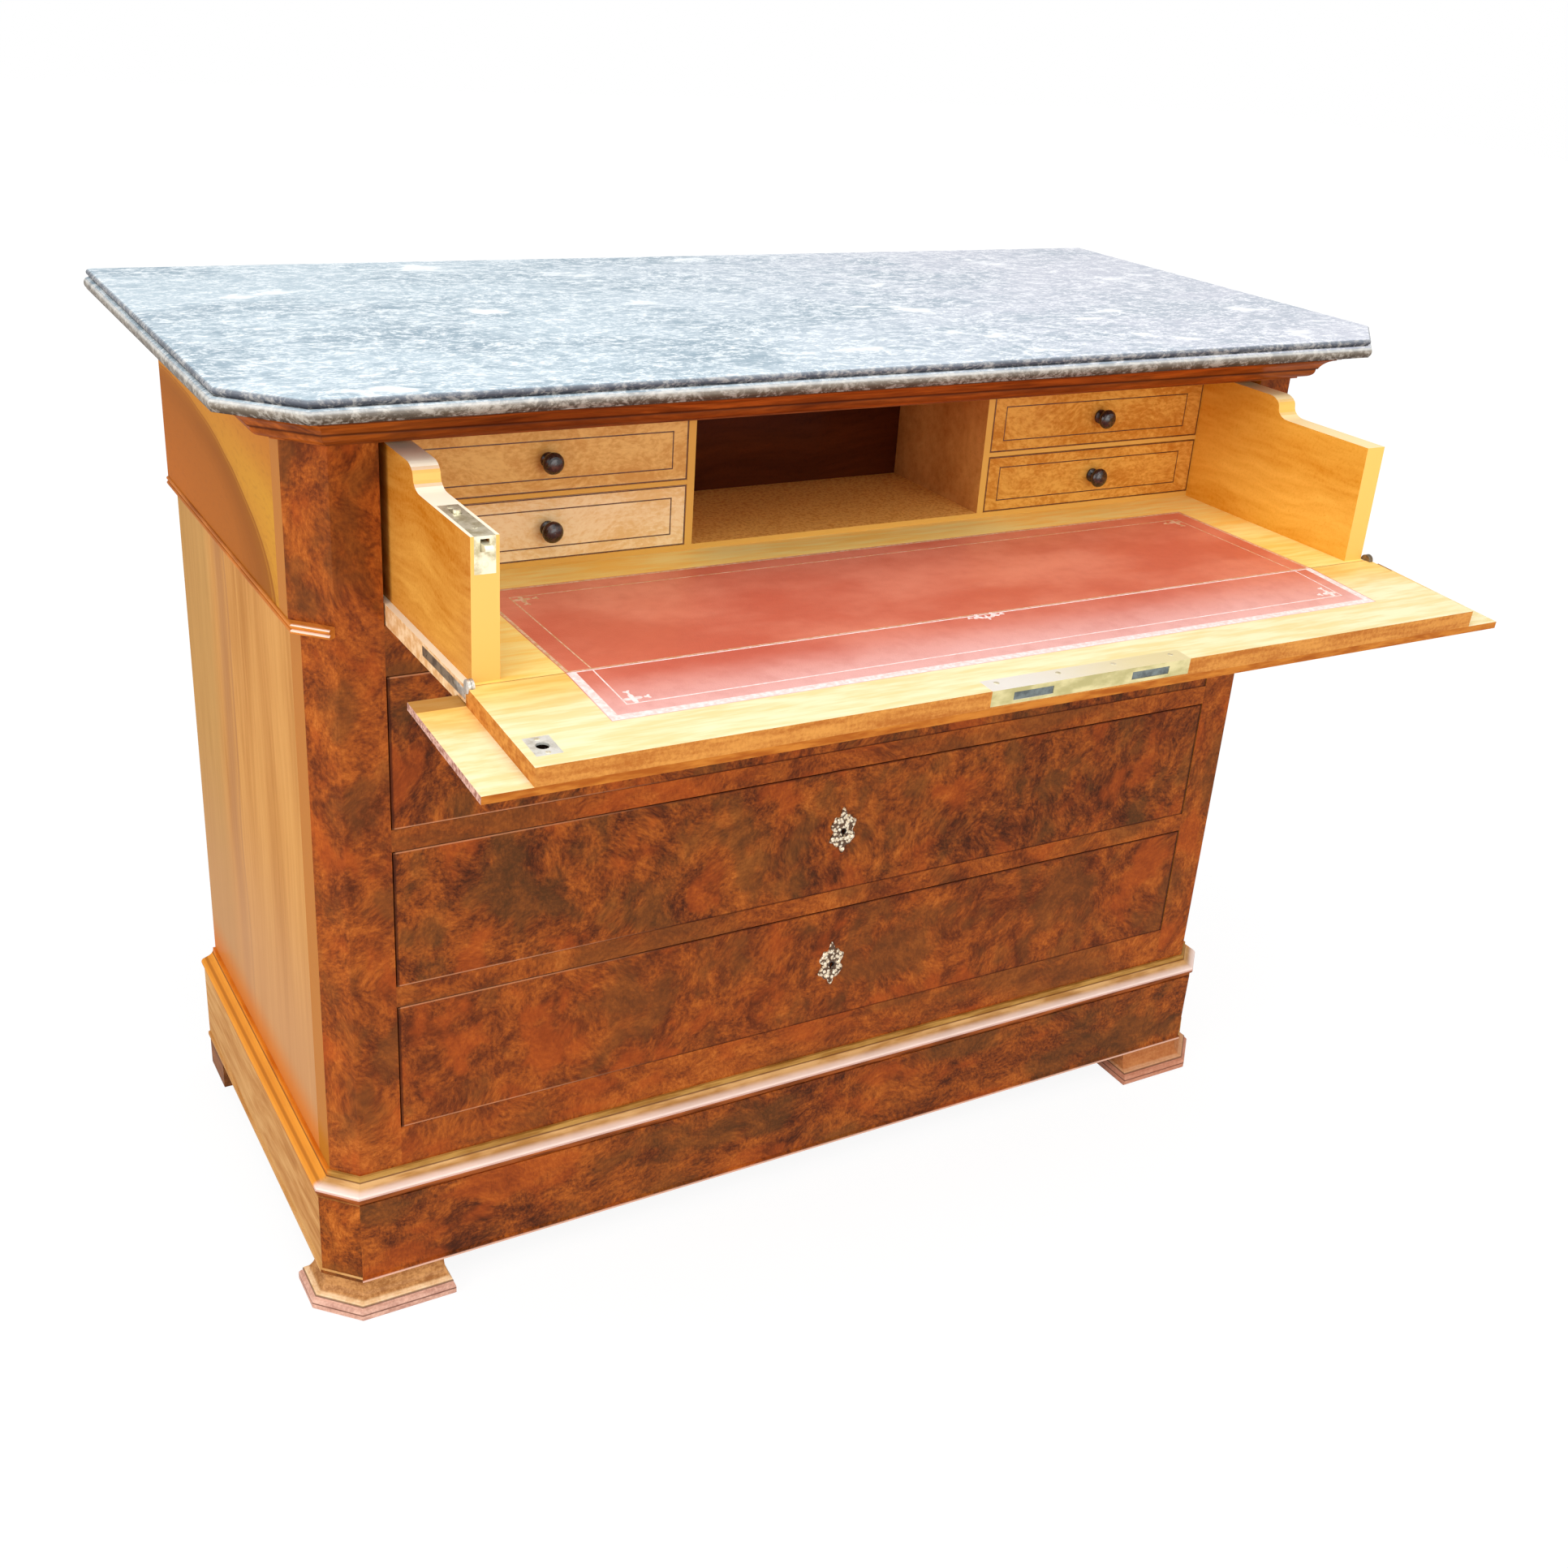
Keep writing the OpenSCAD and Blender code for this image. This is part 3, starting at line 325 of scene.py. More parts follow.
def burr_walnut(name, *cut, edge=None, rims=(), ends=(), pale_rim=None):
    """French polished burr walnut. edge is the tone of the plain wood at its sides, and
    rims are the heights of the edges, with a painted highlight towards the left and a
    painted gap shadow elsewhere. ends are the places across of dark upright edges, painted
    gap shadows, and pale_rim the height of a painted pale highlight."""
    f = Finish(name, POLISH)
    colour, cloud, grit = burr(f, *cut)
    if edge:
        colour = f.mix(abs(f.right).step(0.84, 0.95), colour, edge)
    # painted light: a pale painted highlight on the rims at the left, a dark painted gap shadow
    # further right
    highlight_until, shadow_from = -0.40, -0.18
    wear_and_light = f.mix(f.x.step(highlight_until, shadow_from), rgb(206, 140, 100), rgb(66, 26, 12))
    for rim in rims:
        colour = f.mix(f.z.near(rim, 2.0 * MM, 0.6 * MM) * 0.65, colour, wear_and_light)
    # painted shadow: dark lines at the upright ends, where the gaps are in shade
    for end in ends:
        colour = f.mix(f.x.near(end, 3.4 * MM, 1.0 * MM) * 0.8, colour, rgb(58, 24, 12))
    # painted highlight: a pale line along the lower edge
    if pale_rim is not None:
        rub_and_highlight = (f.z - pale_rim).step(3.2 * MM, 1.4 * MM) * 0.8
        colour = f.mix(rub_and_highlight, colour, rgb(240, 192, 168))
    return f.paint(colour, cloud * 0.14 + grit * 0.12 + 0.16, grit, 0.1)


def drawer_burr(drawer, *cut):
    """The burr of a long drawer's front, with its edges painted as highlight and gap shadow, and
    dark ends painted as gap shadow.
    """
    low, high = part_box(drawer)
    return burr_walnut(drawer + "_burr", *cut, rims=(low.z, high.z), ends=(low.x, high.x))


def straight_grain(f, along):
    """The grain of plain walnut, and its fine lines alone."""
    wander = f.stray(f.leaf, 3, 0.05)
    band = f.noise(wander * along, 9, 4, 0.55)
    line = f.noise(wander * along, 90, 4, 0.6)
    return band * 0.55 + line * 0.45, line


def plinth_return(name):
    """Plain tan walnut along the plinth's side, with burr veneer on its cant."""
    f = Finish(name, SATIN, (0.1, 0.6, 0.3))
    grain, line = straight_grain(f, DEEP)
    plain = f.ramp(grain, {
        0.36: rgb(164, 104, 46), 0.47: rgb(190, 132, 70), 0.56: rgb(208, 156, 94),
        0.72: rgb(220, 174, 116)})
    veneer, _, grit = burr(f, (0.9, 1.7, 0.3), -0.01)
    colour = f.mix(f.back.step(-0.35, -0.6), plain, veneer)
    return f.paint(colour, line * 0.2 + 0.20, grit, 0.08)


def straight_walnut(name, leaf, along, pale, dark, highlight_tone=None, quirks=()):
    """Plain walnut whose grain runs the way that along is small. gloss is the pale tone
    of a painted highlight where a moulding turns up to the light, and quirks are the heights
    of the grooves, darkened there as painted shade."""
    f = Finish(name, POLISH, leaf)
    grain, line = straight_grain(f, along)
    pores = f.noise(f.leaf * along, 420, 1)
    palest = tuple(1.10 * c for c in pale)
    wood = f.ramp(grain, {
        0.36: dark, 0.47: between(pale, dark), 0.54: pale, 0.72: palest})
    colour = f.mix(pores.step(0.58, 0.72) * 0.18, wood, dark)
    if highlight_tone:
        # painted highlight where the moulding turns up towards the light
        lit = f.up.step(0.20, 0.62) * f.up.step(0.999, 0.93) * f.back.step(-0.10, -0.30)
        colour = f.mix(lit * (line * 0.3 + 0.72), colour, highlight_tone)
    # painted shade: dark lines in the grooves
    for quirk in quirks:
        colour = f.mix(f.z.near(quirk, 2.2 * MM, 0.4 * MM) * 0.8, colour, rgb(62, 24, 8))
    return f.paint(colour, line * 0.2 + 0.20, line, 0.08)


def plinth_walnut(name):
    """The plinth's moulding: a round with a painted pale highlight under an olive-gold cove in
    front, and a round with a painted yellow highlight under an orange cove along the sides,
    with painted shade lines in its creases."""
    f = Finish(name, POLISH, (0.7, 1.5, 0.0))
    grain = f.noise(f.leaf * (0.15, 0.15, 1.0), 120, 3, 0.6)
    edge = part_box("plinth_moulding")[0]
    forward = (f.y - edge.y).step(46 * MM, 36 * MM)
    rise = f.z - edge.z
    round_top = 20.2 * MM
    streak = grain.step(0.35, 0.65)
    side = f.mix(streak, rgb(174, 86, 20), rgb(214, 124, 38))
    front = f.mix(streak, rgb(122, 62, 30), rgb(176, 96, 48))
    plain = f.mix(forward, side, front)
    side_cove = f.mix(streak, rgb(206, 110, 26), rgb(226, 134, 40))
    front_cove = f.mix(streak, rgb(156, 108, 46), rgb(190, 144, 74))
    cove = f.mix(forward, side_cove, front_cove)
    # painted highlight: the front round is painted pale where it faces up
    highlight_tone = f.mix(f.up.step(0.1, 0.6), rgb(206, 160, 144), rgb(253, 230, 218))
    tan = f.mix(streak, rgb(190, 138, 76), rgb(222, 176, 118))
    topped = f.mix(rise.step(13.0 * MM, 16.5 * MM), highlight_tone, tan)
    # painted highlight: the side round is painted yellow, and the front round's lowest part stays
    # plain
    shine = f.mix(forward, rgb(236, 156, 54), topped)
    shaded = forward * rise.step(8.5 * MM, 5.5 * MM)
    on_round = f.up.step(-0.1, 0.15) * (grain * 0.3 + 0.75) * (1 - shaded)
    in_cove = rise.step(round_top - 0.2 * MM, round_top + 0.6 * MM)
    worked = f.mix(in_cove, f.mix(on_round, plain, shine), cove)
    # painted shade: a dark line in the crease between the round and the cove
    crease_shade = rise.near(round_top, 1.0 * MM, 0.3 * MM) * 0.8
    colour = f.mix(crease_shade, worked, rgb(92, 48, 18))
    # painted shade: dark lines in the side moulding's quirks
    for quirk in (8.5 * MM, 14.5 * MM):
        line = rise.near(quirk, 1.0 * MM, 0.3 * MM) * (1 - forward) * 0.5
        colour = f.mix(line, colour, rgb(140, 70, 14))
    return f.paint(colour, grain * 0.2 + 0.18, grain, 0.06)


def foot_walnut(name):
    """The front feet: brown-gold cove, cream edge of painted highlight over a dark groove, and a
    rosy base; both grooves are darkened as painted shade. The right foot is browner."""
    f = Finish(name, POLISH, (0.4, 0.4, 0.0))
    grain = f.noise(f.leaf * (0.3, 0.3, 1.0), 120, 3, 0.6)
    speck = f.noise(f.leaf, 260, 4, 0.7)
    streak = (grain * 0.5 + speck * 0.5).step(0.36, 0.64)
    share = f.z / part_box("front_feet")[1].z
    cove = f.mix(streak, rgb(152, 98, 52), rgb(206, 150, 92))
    cream = f.mix(streak, rgb(230, 184, 132), rgb(250, 218, 176))
    base = f.mix(streak, rgb(190, 140, 122), rgb(228, 182, 160))
    upper_groove, lower_groove = 0.38, 0.20
    # painted highlight: a cream band above the upper groove
    worked = f.mix(share.step(upper_groove - 0.01, upper_groove + 0.01), base, cream)
    shaped = f.mix(share.step(0.42, 0.48), worked, cove)
    # painted shade in the two grooves
    grooves = share.near(upper_groove, 0.035, 0.01) + share.near(lower_groove, 0.03, 0.01)
    right_foot = f.x.step(0.1, 0.5) * 0.55
    shaded = f.mix(right_foot, shaped, rgb(186, 104, 58))
    colour = f.mix((grooves * 0.75).smaller(1.0), shaded, rgb(84, 44, 26))
    return f.paint(colour, grain * 0.2 + 0.18, grain, 0.06)


def side_walnut(name):
    """Upright grain of a side board: a dark streak runs up its back half, and it turns
    rosy and then orange towards the plinth; the orange is a painted reflection of the
    plinth's moulding."""
    f = Finish(name, SATIN, (3.1, 0.7, 0.2))
    wander = f.stray(f.leaf, 2.2, 0.05)
    band = f.noise(wander * (1.0, 1.0, 0.10), 13, 3, 0.5)
    line = f.noise(wander * (1.0, 1.0, 0.05), 130, 4, 0.6)
    streak_y, vein_ahead = 0.27, 26 * MM
    bend = f.noise(f.point * (0.0, 0.0, 1.0), 3.5, 1) * 0.05
    across = f.y - streak_y + bend
    streak = abs(across).step(32 * MM, 4 * MM) * 0.50
    vein = abs(across + vein_ahead).step(6 * MM, 0.0) * 0.45
    wood = f.ramp(band * 0.6 + line * 0.4, {
        0.34: rgb(180, 119, 54), 0.47: rgb(197, 137, 70), 0.58: rgb(208, 149, 80),
        0.72: rgb(218, 162, 94)})
    old = f.mix(across.step(20 * MM, 70 * MM) * 0.45, wood, rgb(176, 140, 80))
    marked = f.mix((streak + vein).smaller(1.0), old, rgb(158, 104, 66))
    # paler and rosier towards the bottom
    rosier_low = f.mix(f.z.step(0.52, 0.22) * 0.62, marked, rgb(196, 146, 104))
    # painted reflection: orange low on the side, from the plinth's moulding
    foot = f.mix(f.z.step(0.225, 0.165) * 0.78, rosier_low, rgb(212, 116, 38))
    return f.paint(foot, line * 0.16 + 0.22, line, 0.08)


def arched_walnut(name, back, bottom):
    """Crown-cut veneer of a frieze side: a brown heart low at the back, a dark line round
    it and golden wood beyond, darker towards the top as painted shade under the cornice."""
    f = Finish(name, SATIN)
    arch_depth, arch_height = 0.412, 0.120
    across = (f.y - back) / arch_depth
    up = (f.z - bottom) / arch_height
    wobble = f.noise(f.point, 8, 2) * 0.10
    ring = (across * across + up * up).power(0.5) + wobble - 0.05
    shells = f.noise(ring, 26, 3, 0.6)
    fine = f.noise(f.point * (1.0, 0.35, 1.0), 240, 3)
    wood = f.ramp(ring * 0.5 + shells * 0.11 - 0.03, {
        0.10: rgb(180, 99, 26), 0.40: rgb(170, 95, 24), 0.49: rgb(152, 84, 16),
        0.525: rgb(154, 88, 14), 0.56: rgb(200, 136, 40), 0.66: rgb(206, 145, 42),
        0.85: rgb(190, 122, 32)})
    # painted shade: darker towards the top, under the cornice
    under_cornice = f.z.step(bottom + 85 * MM, bottom + 150 * MM) * 0.65
    darker = f.mix(under_cornice, wood, rgb(196, 118, 42))
    colour = f.mix(fine.step(0.48, 0.75) * 0.22, darker, rgb(150, 84, 30))
    return f.paint(colour, fine * 0.16 + 0.22, fine, 0.08)


def maple(name, leaf, along, pale, deep, shade=None, rim=None, nose=None):
    """Golden maple with a fine fleck and a soft curl. shade is (y, y, tone) for a case whose
    floor is painted pale as painted light: the place from which and by which painted shade
    darkens it, and how dark it gets. rim is the tone of a painted highlight on its upper
    edges and nose that of its front ones."""
    f = Finish(name, POLISH, leaf)
    wander = f.stray(f.leaf, 6, 0.05, 2)
    curl = f.noise(wander * along, 18, 3, 0.55)
    grain = f.noise(wander * along, 120, 3, 0.6)
    fleck = f.noise(wander, 300, 3, 0.6)
    wood = f.ramp(curl * 0.45 + grain * 0.30 + fleck * 0.25, {
        0.38: deep, 0.50: between(pale, deep), 0.62: pale})
    colour = f.mix(fleck.step(0.52, 0.68) * 0.42, wood, deep)
    if shade:
        # painted light: upward faces, the floor among them, are painted pale
        floor = f.mix(fleck.step(0.42, 0.62), rgb(255, 200, 104), rgb(226, 156, 70))
        colour = f.mix(f.up.step(0.6, 0.9) * 0.9, colour, floor)
        # painted shade, deeper into the case
        shade_from, shade_by, dark = shade
        colour = f.mix(f.y.step(shade_from, shade_by) * 0.92, colour, dark)
    if nose:
        colour = f.mix(f.back.step(-0.6, -0.92), colour, nose)
    # painted highlight on the upward-facing edges
    if rim:
        colour = f.mix(f.up.step(0.6, 0.92), colour, rim)
    return f.paint(colour, grain * 0.16 + 0.24, grain, 0.06)


def nest_front(name):
    """The small drawers: tan on the left, palest low down, and deeper gold on the right."""
    f = Finish(name, POLISH, (1.5, 0.6, 0.2))
    wander = f.stray(f.leaf, 9, 0.06, 2)
    curl = f.noise(wander * (0.5, 1.0, 1.0), 26, 4, 0.6)
    fleck = f.noise(wander * (0.5, 1.0, 1.0), 260, 4, 0.65)
    figure = (curl * 0.45 + fleck * 0.55).step(0.38, 0.62)
    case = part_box("nest_case")
    level = (case[0].z + case[1].z) / 2
    lower_drawers = f.z.step(level + 10 * MM, level - 10 * MM)
    upper_left = f.mix(figure, rgb(216, 162, 88), rgb(240, 198, 120))
    lower_left = f.mix(figure, rgb(238, 198, 132), rgb(252, 226, 176))
    right = f.mix(figure, rgb(198, 128, 46), rgb(230, 172, 80))
    colour = f.mix(f.x.step(-0.1, 0.1), f.mix(lower_drawers, upper_left, lower_left), right)
    return f.paint(colour, fleck * 0.16 + 0.24, fleck, 0.05)


def oak(name, leaf, along):
    """Plain waxed oak of the boxes, the back and the hidden boards."""
    f = Finish(name, WAXED, leaf)
    wander = f.stray(f.leaf, 3, 0.04)
    band = f.noise(wander * along, 11, 4, 0.6)
    line = f.noise(wander * along, 90, 4, 0.65)
    pores = f.noise(f.leaf * along, 520, 1)
    wood = f.ramp(band * 0.5 + line * 0.5, {
        0.34: rgb(140, 98, 58), 0.48: rgb(176, 132, 82), 0.62: rgb(202, 162, 108)})
    colour = f.mix(pores.step(0.56, 0.66) * 0.4, wood, rgb(112, 76, 44))
    return f.paint(colour, line * 0.2 + 0.50, line, 0.2)


def lit_writing_side(f, reach, grain):
    """The writing side of the fall: golden at the hinge and painted light at the front, nearly
    cream, with a painted shadow line at the hinge. reach is the distance from the hinge line."""
    streak = grain.step(0.35, 0.65)
    golden = f.mix(streak, rgb(244, 188, 96), rgb(252, 208, 122))
    cream = f.mix(streak, rgb(238, 218, 158), rgb(250, 236, 192))
    cloud = f.noise(f.point + (0.4, 0.1, 0.2), 14, 3, 0.5)
    # painted light: golden near the hinge, pale cream towards the front
    wear_and_light = f.mix((reach + cloud * 0.06).step(35 * MM, 105 * MM), golden, cream)
    # painted shadow: a dark line along the hinge
    hinge_shadow = reach.step(1.6 * MM, 0.6 * MM) * 0.7
    return f.mix(hinge_shadow, wear_and_light, rgb(140, 84, 36))


def bed_wood(name):
    """The bed: golden top, painted light where it stands out past the sides, pale ends."""
    f = Finish(name, POLISH, (0.1, 0.7, 0.3))
    grain = f.noise(f.leaf * ACROSS, 110, 3, 0.6)
    curl = f.noise(f.leaf * (0.3, 1.0, 1.0), 18, 3, 0.55)
    figure = (curl * 0.5 + grain * 0.5).step(0.38, 0.62)
    top = f.mix(figure, rgb(255, 208, 104), rgb(255, 232, 146))
    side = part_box("secretary_right_side")[1].x
    outside = abs(f.x).step(side - 1.5 * MM, side + 1.0 * MM)
    # painted light: the top is painted pale where it stands out past the sides
    wear_and_light = f.mix(outside * f.up.step(0.4, 0.9), top, rgb(250, 240, 214))
    ends = f.mix(grain.step(0.35, 0.7), rgb(214, 160, 104), rgb(240, 204, 160))
    colour = f.mix(outside * f.up.step(0.7, 0.3), wear_and_light, ends)
    return f.paint(colour, grain * 0.16 + 0.26, grain, 0.06)


def fall_wood(name):
    """The fall's core: writing side with painted light, orange-brown edges and the black bore,
    a painted shade, in which the strike takes the catch."""
    f = Finish(name, POLISH, (2.5, 0.3, 0.4))
    grain = f.noise(f.leaf * ACROSS, 110, 3, 0.6)
    rough = f.noise(f.leaf * (1.0, 0.3, 1.0), 260, 4, 0.7)
    writing = lit_writing_side(f, FALL.reach(f), grain)
    sawn = (grain * 0.6 + rough * 0.4).step(0.36, 0.64)
    edge = f.mix(sawn, rgb(178, 104, 42), rgb(214, 146, 70))
    wood = f.mix(FALL.faces_out(f), edge, writing)
    low, high = FALL.spread("catch_strike")
    middle = (low + high) / 2
    # painted shade: the bore is painted black, as the hole is in shade
    bore = FALL.distance(f, middle.x, middle.y).step(6.8 * MM, 6.2 * MM)
    colour = f.mix(bore, wood, rgb(34, 22, 16))
    return f.paint(colour, grain * 0.16 + 0.26, grain, 0.06)


def fall_front(name):
    """The fall's face board: burr walnut outside, pale wood with painted light inside, pinkish ends
    with wear.
    """
    f = Finish(name, POLISH)
    walnut, _, grit = burr(f, (0.4, 2.2, 0.9))
    grain = f.noise(f.point * (0.2, 1.0, 1.0), 120, 3, 0.6)
    end = f.mix(grit.step(0.35, 0.65), rgb(150, 96, 78), rgb(222, 176, 158))
    ended = f.mix(abs(f.right).step(0.5, 0.8), walnut, end)
    strip = f.mix(grain.step(0.35, 0.65), rgb(164, 86, 26), rgb(198, 122, 46))
    edged = f.mix(f.back.step(-0.5, -0.85), ended, strip)
    writing = lit_writing_side(f, FALL.reach(f), grain)
    colour = f.mix(FALL.faces_out(f), edged, writing)
    return f.paint(colour, grit * 0.16 + 0.22, grit, 0.08)


# Stone, leather and metals

def marble(name):
    """Grey marble with white flecks; the polished top is painted nearly white, far paler than the
    edge, as painted light.
    """
    f = Finish(name, STONE, (1.3, 0.2, 0.6))
    drawn = f.stray(f.leaf, 9, 0.05, 3) * (0.60, 1.0, 1.0)
    cloud = f.noise(drawn, 7, 4, 0.6)
    fleck = f.noise(drawn, 90, 6, 0.75)
    fine = f.noise(drawn, 300, 3, 0.65)
    blot = f.noise(drawn, 16, 3, 0.5).step(0.63, 0.72)
    # painted light: the level top takes far paler tones than the edge
    top = f.up.step(0.75, 0.97)
    cool = f.mix(f.x.step(-0.35, 0.45), rgb(190, 206, 215), rgb(204, 206, 217))
    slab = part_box("marble_top")
    level = (f.z - slab[0].z) / (slab[1].z - slab[0].z)
    bead = f.ramp(level, {
        0.0: rgb(66, 48, 36), 0.22: rgb(100, 88, 74), 0.38: rgb(136, 126, 114),
        0.48: rgb(200, 199, 195), 0.56: rgb(172, 175, 178), 0.61: rgb(46, 48, 54),
        0.80: rgb(88, 91, 100), 1.0: rgb(138, 145, 154)})
    body = f.mix(top, bead, cool)
    shade = f.mix(f.x.step(0.1, 0.5), rgb(148, 168, 181), rgb(182, 190, 201))
    bloom = f.mix(f.x.step(-0.1, 0.5), rgb(244, 249, 251), rgb(250, 250, 253))
    edge_contrast = 0.36
    dark = f.mix(top, f.mix(edge_contrast, bead, rgb(48, 46, 50)), shade)
    pale = f.mix(top, f.mix(edge_contrast, bead, rgb(234, 226, 214)), bloom)
    base = f.mix((cloud * 0.6 + fleck * 0.4).step(0.37, 0.56), dark, body)
    on_edge = (fine * 0.40 + fleck * 0.60) * (1 - top)
    on_top = (fleck * 0.55 + fine * 0.45) * top
    specks = on_edge + on_top
    marks = (specks.step(0.46, 0.60) * 0.9 + blot * top).smaller(1.0)
    colour = f.mix(marks, base, pale)
    return f.paint(colour, fleck * 0.12 + 0.14, fleck, 0.03)


def leather(name, tone, wear_and_light, sheen_and_fade=None):
    """Red-brown writing leather, paler in patches of wear. faded is the tone that it takes at
    the front of the fall: mostly a painted sheen, partly real fading."""
    f = Finish(name, {"Specular IOR Level": 0.45}, (0.2, 0.5, 0.1))
    patch = f.noise(f.leaf * (0.6, 1.0, 1.0), 9, 4, 0.55)
    mottle = f.noise(f.leaf, 60, 4, 0.6)
    pebble = f.cells(f.stray(f.leaf, 120, 6 * MM), 620)
    base = f.mix(patch.step(0.35, 0.65), tone, wear_and_light)
    # mostly painted sheen towards the front of the fall, partly real fading
    if sheen_and_fade:
        away = FALL.reach(f) + (patch - 0.5) * 0.05
        base = f.mix(away.step(4 * MM, 90 * MM), base, sheen_and_fade)
    colour = f.mix(mottle.step(0.40, 0.75) * 0.20, base, tuple(0.78 * c for c in tone))
    return f.paint(colour, mottle * 0.22 + 0.32, pebble, 0.12)


def metal(name, bright, dull, roughness, metallic):
    """Handled metal that has gone dull in patches."""
    f = Finish(name, {"Metallic": metallic})
    patch = f.noise(f.point, 60, 4, 0.65)
    scratch = f.noise(f.point * (1.0, 9.0, 9.0), 160, 2)
    colour = f.mix(patch.step(0.42, 0.66), bright, dull)
    return f.paint(colour, patch * 0.25 + (scratch * 0.12 + roughness), scratch, 0.03)


def strap_steel(name):
    """Dark steel straps, bright from rubbing round the left end of the fall's hinge."""
    f = Finish(name, {"Metallic": 0.6})
    patch = f.noise(f.point, 80, 4, 0.65)
    rub_and_highlight = f.mix(patch.step(0.35, 0.60), rgb(232, 230, 222), rgb(166, 160, 150))
    dull = f.mix(patch.step(0.42, 0.66), rgb(132, 114, 90), rgb(84, 68, 50))
    at_hinge = (f.y - FALL.origin.y + patch * 0.02).step(40 * MM, 18 * MM)
    colour = f.mix(at_hinge * f.x.step(0.1, -0.1), dull, rub_and_highlight)
    return f.paint(colour, patch * 0.25 + 0.30, patch, 0.03)


def lock_brass(name):
    """The fall's lock: its plate has gone nearly white from rubbing, its edge greenish grey."""
    f = Finish(name, {"Metallic": 0.2})
    patch = f.noise(f.point * (0.5, 1.0, 1.0), 40, 4, 0.6)
    scratch = f.noise(f.point * (0.2, 4.0, 4.0), 160, 2)
    low, high = FALL.spread("fall_lock")
    yellowed = (f.x + patch * 0.05).step(low.x + 40 * MM, high.x)
    plate = f.mix(yellowed, rgb(240, 234, 224), rgb(234, 218, 166))
    edge = f.mix(patch.step(0.40, 0.62), rgb(222, 208, 152), rgb(182, 170, 112))
    colour = f.mix(FALL.faces_out(f), edge, plate)
    return f.paint(colour, patch * 0.2 + (scratch * 0.12 + 0.25), scratch, 0.02)


def cast_brass(name, keyholes):
    """Gilt escutcheons with dirt between their leaves and dark keyholes, and the locks'
    plain upper plates. keyholes are [(plane, u, v), ...]."""
    f = Finish(name, {"Metallic": 0.55})
    hollow = f.cells(f.stray(f.point, 200, 4 * MM, 2), 230) * f.up.step(0.95, 0.80)
    rub = f.noise(f.point, 420, 3)
    bright = f.mix(rub.step(0.40, 0.62), rgb(246, 234, 210), rgb(214, 190, 156))
    colour = f.mix(hollow.step(0.38, 0.62), bright, rgb(92, 66, 46))
    # painted shade: the keyholes are painted near black, as the holes are in shade
    for plane, u, v in keyholes:
        keyhole = plane.distance(f, u, v).step(4.2 * MM, 3.4 * MM)
        colour = f.mix(keyhole, colour, rgb(26, 18, 14))
    return f.paint(colour, rub * 0.25 + 0.22, hollow * -1.0, 0.6)


def turned_black(name):
    """Ebonised knobs, brown in places from rubbing."""
    f = Finish(name, {"Coat Weight": 0.4, "Coat Roughness": 0.12})
    rub = f.noise(f.point, 240, 3)
    colour = f.mix(rub.step(0.45, 0.75), rgb(34, 22, 22), rgb(84, 52, 42))
    return f.paint(colour, rub * 0.2 + 0.18)


def flat_tone(name, first, second, scale, roughness):
    """Thin lines and inlays: two close tones of one colour."""
    f = Finish(name, {})
    tone = f.noise(f.point, scale, 3)
    return f.paint(f.mix(tone.step(0.35, 0.65), first, second), tone * 0.2 + roughness)


# Dressing the CAD nodes

